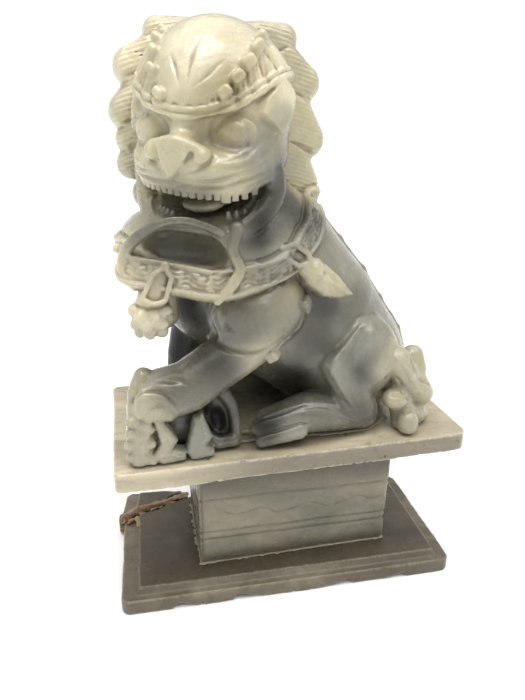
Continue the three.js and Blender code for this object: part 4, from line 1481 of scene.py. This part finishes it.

# Where each colour lies, feature by feature; places are in millimetres
# The darkest tones are painted shade: in the mouth, under the chin, at the throat, behind the cheek, on the
# chest, belly and far leg, in the cup and at the hind toes
TONES = {
    "crown": (-45, -35, 230, CREAM), "crown's right side": (-20, -40, 225, CREAM),
    "brow": (-60, -25, 225, HONEY), "eye": (-35, -45, 210, AMBER),
    "beside the eye": (-25, -40, 225, AMBER), "nose": (-50, -30, 215, HONEY),
    "nose tip": (-55, -40, 205, HONEY), "muzzle": (-40, -45, 200, HONEY),
    "lip": (-60, -25, 200, HONEY), "cheek": (-20, -40, 205, ASH), "ear": (-10, -35, 215, BUFF),
    "cheek's foot": (-30, -40, 195, HONEY), "behind the cheek": (-10, -30, 200, DEEP_SHADE),
    "hair, right": (-5, -30, 230, CREAM), "mane, right": (5, 0, 210, HONEY),
    "mane, low right": (10, 0, 190, HONEY), "mane, left": (-65, 0, 230, CREAM),
    "mane, low left": (-70, 0, 220, HONEY), "jaw": (-15, -40, 190, UMBER),
    "mouth": (-50, -30, 185, UMBER), "under the chin": (-40, -15, 165, OLIVE),
    "chin": (-60, -35, 180, OLIVE), "chin's lower edge": (-40, -45, 180, UMBER),
    "throat": (-15, -40, 180, DEEP_SHADE), "nape": (0, -20, 180, UMBER),
    "ribbon": (-70, -25, 165, CREAM), "beside the ribbon": (-55, -20, 170, ASH),
    "collar, left": (-65, -25, 160, BUFF), "collar, front": (-35, -45, 155, BUFF),
    "collar, right": (-5, -35, 170, ASH), "bell": (-65, -45, 145, CREAM),
    "bell's ball": (-65, -45, 140, ASH), "leaf": (10, -40, 155, HONEY),
    "shoulder disc": (-25, -40, 140, OLIVE), "back": (20, -20, 160, ASH),
    "flank": (10, -30, 140, UMBER), "flank, low": (10, -30, 125, UMBER),
    "rump": (25, -25, 140, OLIVE), "elbow": (-15, -40, 125, BUFF), "chest": (-50, -20, 140, DEEP_SHADE),
    "belly": (0, -20, 105, DEEP_SHADE), "far leg": (-50, 10, 115, DEEP_SHADE),
    "near leg": (-35, -40, 120, UMBER), "wrist": (-50, -45, 115, OLIVE),
    "paw": (-65, -40, 110, BUFF), "cub": (-65, -40, 90, BUFF), "cub's leg": (-45, -40, 85, ASH),
    "cup": (-35, -25, 90, DEEP_SHADE), "footing": (-20, -20, 85, BUFF),
    "hind toes": (-15, -35, 95, DEEP_SHADE), "hind foot": (10, -35, 95, OLIVE),
    "hind sole": (0, -40, 85, ASH), "haunch": (30, -35, 115, UMBER),
    "haunch, front": (20, -35, 115, ASH), "haunch, top": (30, -30, 130, ASH),
    "haunch, low": (35, -35, 95, UMBER), "tail's root": (45, -35, 115, BUFF),
    "tail": (60, -30, 100, BUFF), "tail's curl": (45, -40, 95, BUFF),
}


def lion_tones(verts):
    """The tone of the lion's stone at each vertex, painted shade included, blended from TONES.

    The far side of the body takes the near side's tones, except the fore leg, which has its own."""
    wander = 2.5 * np.sin(verts[:, [1, 2, 0]] / 7.3 + (0.5, 2.1, 4.0))
    wander += 1.2 * np.sin(verts[:, [2, 0, 1]] / 2.9)
    spots = verts + wander
    x, y, z = spots.T
    fore_leg = (x < -34) & (z < 150)
    far_side = (y > 0) & (z < 178) & ~fore_leg
    spots[far_side, 1] *= -1
    total, weights = np.zeros((len(verts), 3)), np.zeros(len(verts))
    for *place, colour in TONES.values():
        off = ((spots - place) ** 2).sum(1)
        weight = 1 / (off + SOFTNESS) ** 2
        total += weight[:, None] * colour
        weights += weight
    return {"tone": total / weights[:, None]}


def under_slab(verts):
    """Painted shade at the top of the block under the slab and at its foot, and a darker left end."""
    x, _, z = verts.T
    low, high = mm_box("pedestal_block")
    # painted shade under the slab's overhang and at the foot
    top = fade((z - high[2] + 30) / 26)
    foot = fade((low[2] + 10 - z) / 11)
    left = fade((low[0] + 3.5 - x) / 3)
    return {"grime_and_shade": np.maximum(np.maximum(top, foot), left)}


def plate_grime_shade(verts):
    """Dirt on the plate's panel, with painted shade thickest round the block and under the slab's edge."""
    x, y, z = verts.T
    low, high = mm_box("pedestal_block")
    middle, half = (low + high) / 2, (high - low) / 2
    off = np.maximum(abs(x - middle[0]) - half[0], abs(y - middle[1]) - half[1])
    top = mm_box("base_plate")[1][2]
    # painted shade round the block and under the slab's edge
    thickest = fade(np.maximum((12 - off) / 14, (-y - 20) / 8))
    panel = fade(z - top + 1.2) * (0.65 + 0.35 * thickest)
    front = 0.6 * fade((-y - 28) / 5) * fade(x / 50)
    return {"grime_and_shade": np.maximum(panel, front)}


def slab_grime_shade(verts):
    """Painted shade on the slab's front, thicker to the right, a painted shadow between the lion's feet, and
    grime towards the right end.
    """
    x, y, z = verts.T
    low, high = mm_box("top_slab")
    front = fade((low[1] + 1.8 - y) / 1.6) * (0.15 + 0.75 * fade((x + 72) / 70))
    from_middle = np.sqrt(((x + 4) / 56) ** 2 + ((y + 4) / 34) ** 2)
    # painted shadow between the lion's feet
    feet = fade((1.15 - from_middle) / 0.25) * fade(z - high[2] + 1)
    right = 0.3 * fade((x - 20) / 50)
    return {"grime_and_shade": np.maximum(np.maximum(front, feet), right)}


def one_body(verts, quads):
    """Only the largest connected body of a mesh, without crumbs and closed bubbles."""
    label = np.arange(len(verts))
    while True:
        lowest = label[quads].min(axis=1)
        joined = label.copy()
        np.minimum.at(joined, quads.ravel(), np.repeat(lowest, 4))
        joined = joined[joined]
        if (joined == label).all():
            break
        label = joined
    kept = label == np.bincount(label).argmax()
    number = np.cumsum(kept) - 1
    return verts[kept], number[quads[kept[quads[:, 0]]]]


def piece(name, node, stone, finish, tones=None, seat=None, spread=0.0):
    """Turns a carved stone into a piece that stands for its CAD node.

    spread widens it towards the back, and seat turns and slides it."""
    verts, quads = one_body(*stone.mesh())
    bends = [stone.bend(verts, reach) for reach in (1.5, 2.6)]
    verts[:, 1] += spread * fade((verts[:, 1] - 26) / 8)
    if seat:
        verts = seated(verts, seat)
    mesh = bpy.data.meshes.new(name)
    mesh.vertices.add(len(verts))
    mesh.vertices.foreach_set("co", (verts * MM).astype(np.float32).ravel())
    mesh.loops.add(quads.size)
    mesh.loops.foreach_set("vertex_index", quads.astype(np.int32).ravel())
    mesh.polygons.add(len(quads))
    mesh.polygons.foreach_set("loop_start", np.arange(0, quads.size, 4, dtype=np.int32))
    mesh.polygons.foreach_set("use_smooth", np.ones(len(quads), bool))
    mesh.update(calc_edges=True)
    values = {
        "edge": np.clip((bends[0] - 0.08) * 4, 0, 1),
        "hollow": np.clip(np.maximum((-bends[1] - 0.08) * 3, (-bends[0] - 0.05) * 4), 0, 1),
        **(tones(verts) if tones else {}),
    }
    for key, value in values.items():
        if value.ndim == 1:
            layer = mesh.attributes.new(key, "FLOAT", "POINT")
            layer.data.foreach_set("value", value.astype(np.float32))
        else:
            layer = mesh.attributes.new(key, "FLOAT_COLOR", "POINT")
            solid = np.concatenate([value, np.ones((len(value), 1))], 1)
            layer.data.foreach_set("color", solid.astype(np.float32).ravel())
    made = bpy.data.objects.new(name, mesh)
    bpy.context.scene.collection.objects.link(made)
    mesh.materials.append(finish)
    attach(made, "root")
    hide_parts(node)
    return made


lion_stone = soapstone(
    "lion_soapstone", base=None, cloud=(0.90, 0.92, 0.95), fleck=(0.12, 0.11, 0.09),
    vein=(0.2, 0.16, 0.1), edge=(0.62, 0.58, 0.44), dirt_shade_colour=(0.36, 0.30, 0.22), gloss=0.17,
    glow=0.4, wear=0.1, mottled=0.1, veined=0.12, flecked=0.04,
)
slab_stone = soapstone(
    "slab_soapstone", base=(0.56, 0.49, 0.35), cloud=(0.42, 0.37, 0.26), fleck=(0.2, 0.17, 0.12),
    vein=(0.22, 0.17, 0.11), edge=(0.66, 0.61, 0.48), dirt_shade_colour=(0.13, 0.108, 0.072), gloss=0.26,
    glow=0.3, wear=0.5, stretch=(3.5, 1, 0.6), stain=(0.13, 0.11, 0.085), grime_and_shade=0.8, mottled=0.2,
)
block_stone = soapstone(
    "pedestal_soapstone", base=(0.245, 0.222, 0.155), cloud=(0.15, 0.147, 0.11), fleck=(0.1, 0.09, 0.07),
    vein=(0.13, 0.11, 0.08), edge=(0.42, 0.38, 0.26), dirt_shade_colour=(0.07, 0.06, 0.042), gloss=0.22,
    glow=0.3, wear=0.45, stretch=(2, 1, 1), grime_and_shade=0.85, mottled=0.16, flecked=0.25, polish=0.8,
)
plate_stone = soapstone(
    "plate_soapstone", base=(0.13, 0.11, 0.078), cloud=(0.185, 0.16, 0.115), fleck=(0.07, 0.06, 0.045),
    vein=(0.08, 0.06, 0.04), edge=(0.38, 0.35, 0.27), dirt_shade_colour=(0.055, 0.046, 0.032), gloss=0.24,
    glow=0.15, wear=0.35, stretch=(1.6, 1, 1), stain=(0.085, 0.062, 0.042), grime_and_shade=0.75,
    mottled=0.25, polish=0.5,
)
tan_glue = glue_finish("tan_glue", (0.26, 0.155, 0.085), (0.085, 0.045, 0.025), (0.50, 0.36, 0.22))
grey_glue = glue_finish("grey_glue", (0.20, 0.18, 0.13), (0.09, 0.075, 0.05), (0.42, 0.40, 0.30))

plate_main, plate_corner, break_glue = plate_pieces()
piece("plate_main", "base_plate", plate_main, plate_stone, plate_grime_shade, PLATE_SEAT)
piece(
    "plate_corner", "base_plate_corner", plate_corner, plate_stone, plate_grime_shade,
    CORNER_SEAT, CORNER_SPREAD,
)
piece("break_glue", "break_filler", break_glue, tan_glue, seat=PLATE_SEAT)
piece("pedestal", "pedestal_block", pedestal(), block_stone, under_slab, BLOCK_SEAT)
piece("slab", "top_slab", slab(), slab_stone, slab_grime_shade)
lower_bed = glue_bed(*block_box("lower_glue_bed", 0.4))
piece("glue_under_block", "lower_glue_bed", lower_bed, grey_glue, seat=BLOCK_SEAT)
piece("glue_over_block", "upper_glue_bed", glue_over_block(), grey_glue, seat=BLOCK_SEAT)
lion_bed = glue_bed(*mm_box("lion_glue_bed"), lion_footing(), 90, 74)
piece("glue_under_lion", "lion_glue_bed", lion_bed, grey_glue)
piece("guardian_lion", "lion", lion(LION_STEP), lion_stone, lion_tones)


# Floor, light and camera

def floor():
    """A wide round of pale card under the stand."""
    sides, radius = 96, 6.0
    angles = np.linspace(0, 2 * np.pi, sides, endpoint=False)
    ring = [(radius * np.cos(a), radius * np.sin(a), 0) for a in angles]
    mesh = bpy.data.meshes.new("floor")
    mesh.from_pydata(ring, [], [tuple(range(sides))])
    made = bpy.data.objects.new("floor", mesh)
    bpy.context.scene.collection.objects.link(made)
    f = Finish("pale_card")
    tone = f.mix(f.between(f.noise(90, 2), 0.3, 0.7), (0.96, 0.96, 0.96), (0.985, 0.985, 0.985))
    shader = f.node("ShaderNodeBsdfPrincipled", {"Base Color": tone, "Roughness": 0.75})
    f.node("ShaderNodeOutputMaterial", {"Surface": shader.outputs[0]})
    mesh.materials.append(f.material)


def softbox(name, place, aim, size, power, tint):
    light = bpy.data.lights.new(name, "AREA")
    light.shape, light.size, light.energy, light.color = "DISK", size, power, tint
    made = bpy.data.objects.new(name, light)
    made.location = place
    made.rotation_euler = (Vector(aim) - Vector(place)).to_track_quat("-Z", "Y").to_euler()
    bpy.context.scene.collection.objects.link(made)


def overhead(strength, place, spread):
    """An even light from far off, with soft shadows."""
    light = bpy.data.lights.new("overhead", "SUN")
    light.energy, light.angle, light.color = strength, np.radians(spread), (1.0, 0.985, 0.95)
    made = bpy.data.objects.new("overhead", light)
    made.rotation_euler = (-Vector(place)).to_track_quat("-Z", "Y").to_euler()
    bpy.context.scene.collection.objects.link(made)


def sky(level, beside, above):
    """A white room: how bright it is at the horizon, higher up and overhead."""
    world = bpy.data.worlds.new("white_room")
    world.use_nodes = True
    tree = world.node_tree
    place = tree.nodes.new("ShaderNodeTexCoord").outputs["Generated"]
    split = tree.nodes.new("ShaderNodeSeparateXYZ")
    tree.links.new(place, split.inputs[0])

    def step(low, high, bottom, top):
        made = tree.nodes.new("ShaderNodeMapRange")
        made.interpolation_type = "SMOOTHSTEP"
        tree.links.new(split.outputs["Z"], made.inputs["Value"])
        for key, value in (("From Min", low), ("From Max", high), ("To Min", bottom), ("To Max", top)):
            made.inputs[key].default_value = value
        return made.outputs["Result"]

    total = tree.nodes.new("ShaderNodeMath")
    tree.links.new(step(0.19, 0.30, level, beside), total.inputs[0])
    tree.links.new(step(0.50, 0.85, 0.0, above - beside), total.inputs[1])
    tree.links.new(total.outputs[0], tree.nodes["Background"].inputs["Strength"])
    tree.nodes["Background"].inputs["Color"].default_value = (1, 1, 1, 1)
    bpy.context.scene.world = world


def camera():
    """A hand-held view from the front left and above."""
    yaw, pitch, roll = 0.246, 0.379, 0.014
    ahead = np.array([np.sin(yaw) * np.cos(pitch), np.cos(yaw) * np.cos(pitch), -np.sin(pitch)])
    right = np.cross(ahead, (0, 0, 1))
    right /= np.linalg.norm(right)
    up = np.cross(right, ahead)
    right, up = np.cos(roll) * right + np.sin(roll) * up, np.cos(roll) * up - np.sin(roll) * right
    lens = bpy.data.cameras.new("camera")
    lens.sensor_width, lens.lens = 36, 29.26
    lens.clip_start = 0.01
    made = bpy.data.objects.new("camera", lens)
    place = Vector((-0.07101, -0.24764, 0.21416))
    made.matrix_world = Matrix.Translation(place) @ Matrix(np.stack([right, up, -ahead], 1)).to_4x4()
    bpy.context.scene.collection.objects.link(made)
    bpy.context.scene.camera = made


floor()
sky(1.03, 0.42, 1.7)
overhead(0.6, (0.35, -0.35, 1.0), 30)
softbox("key", (-0.13, -0.14, 0.78), (-0.01, -0.01, 0.16), 0.34, 2.0, (1.0, 0.975, 0.93))
camera()
bpy.context.scene.view_settings.view_transform = "Standard"
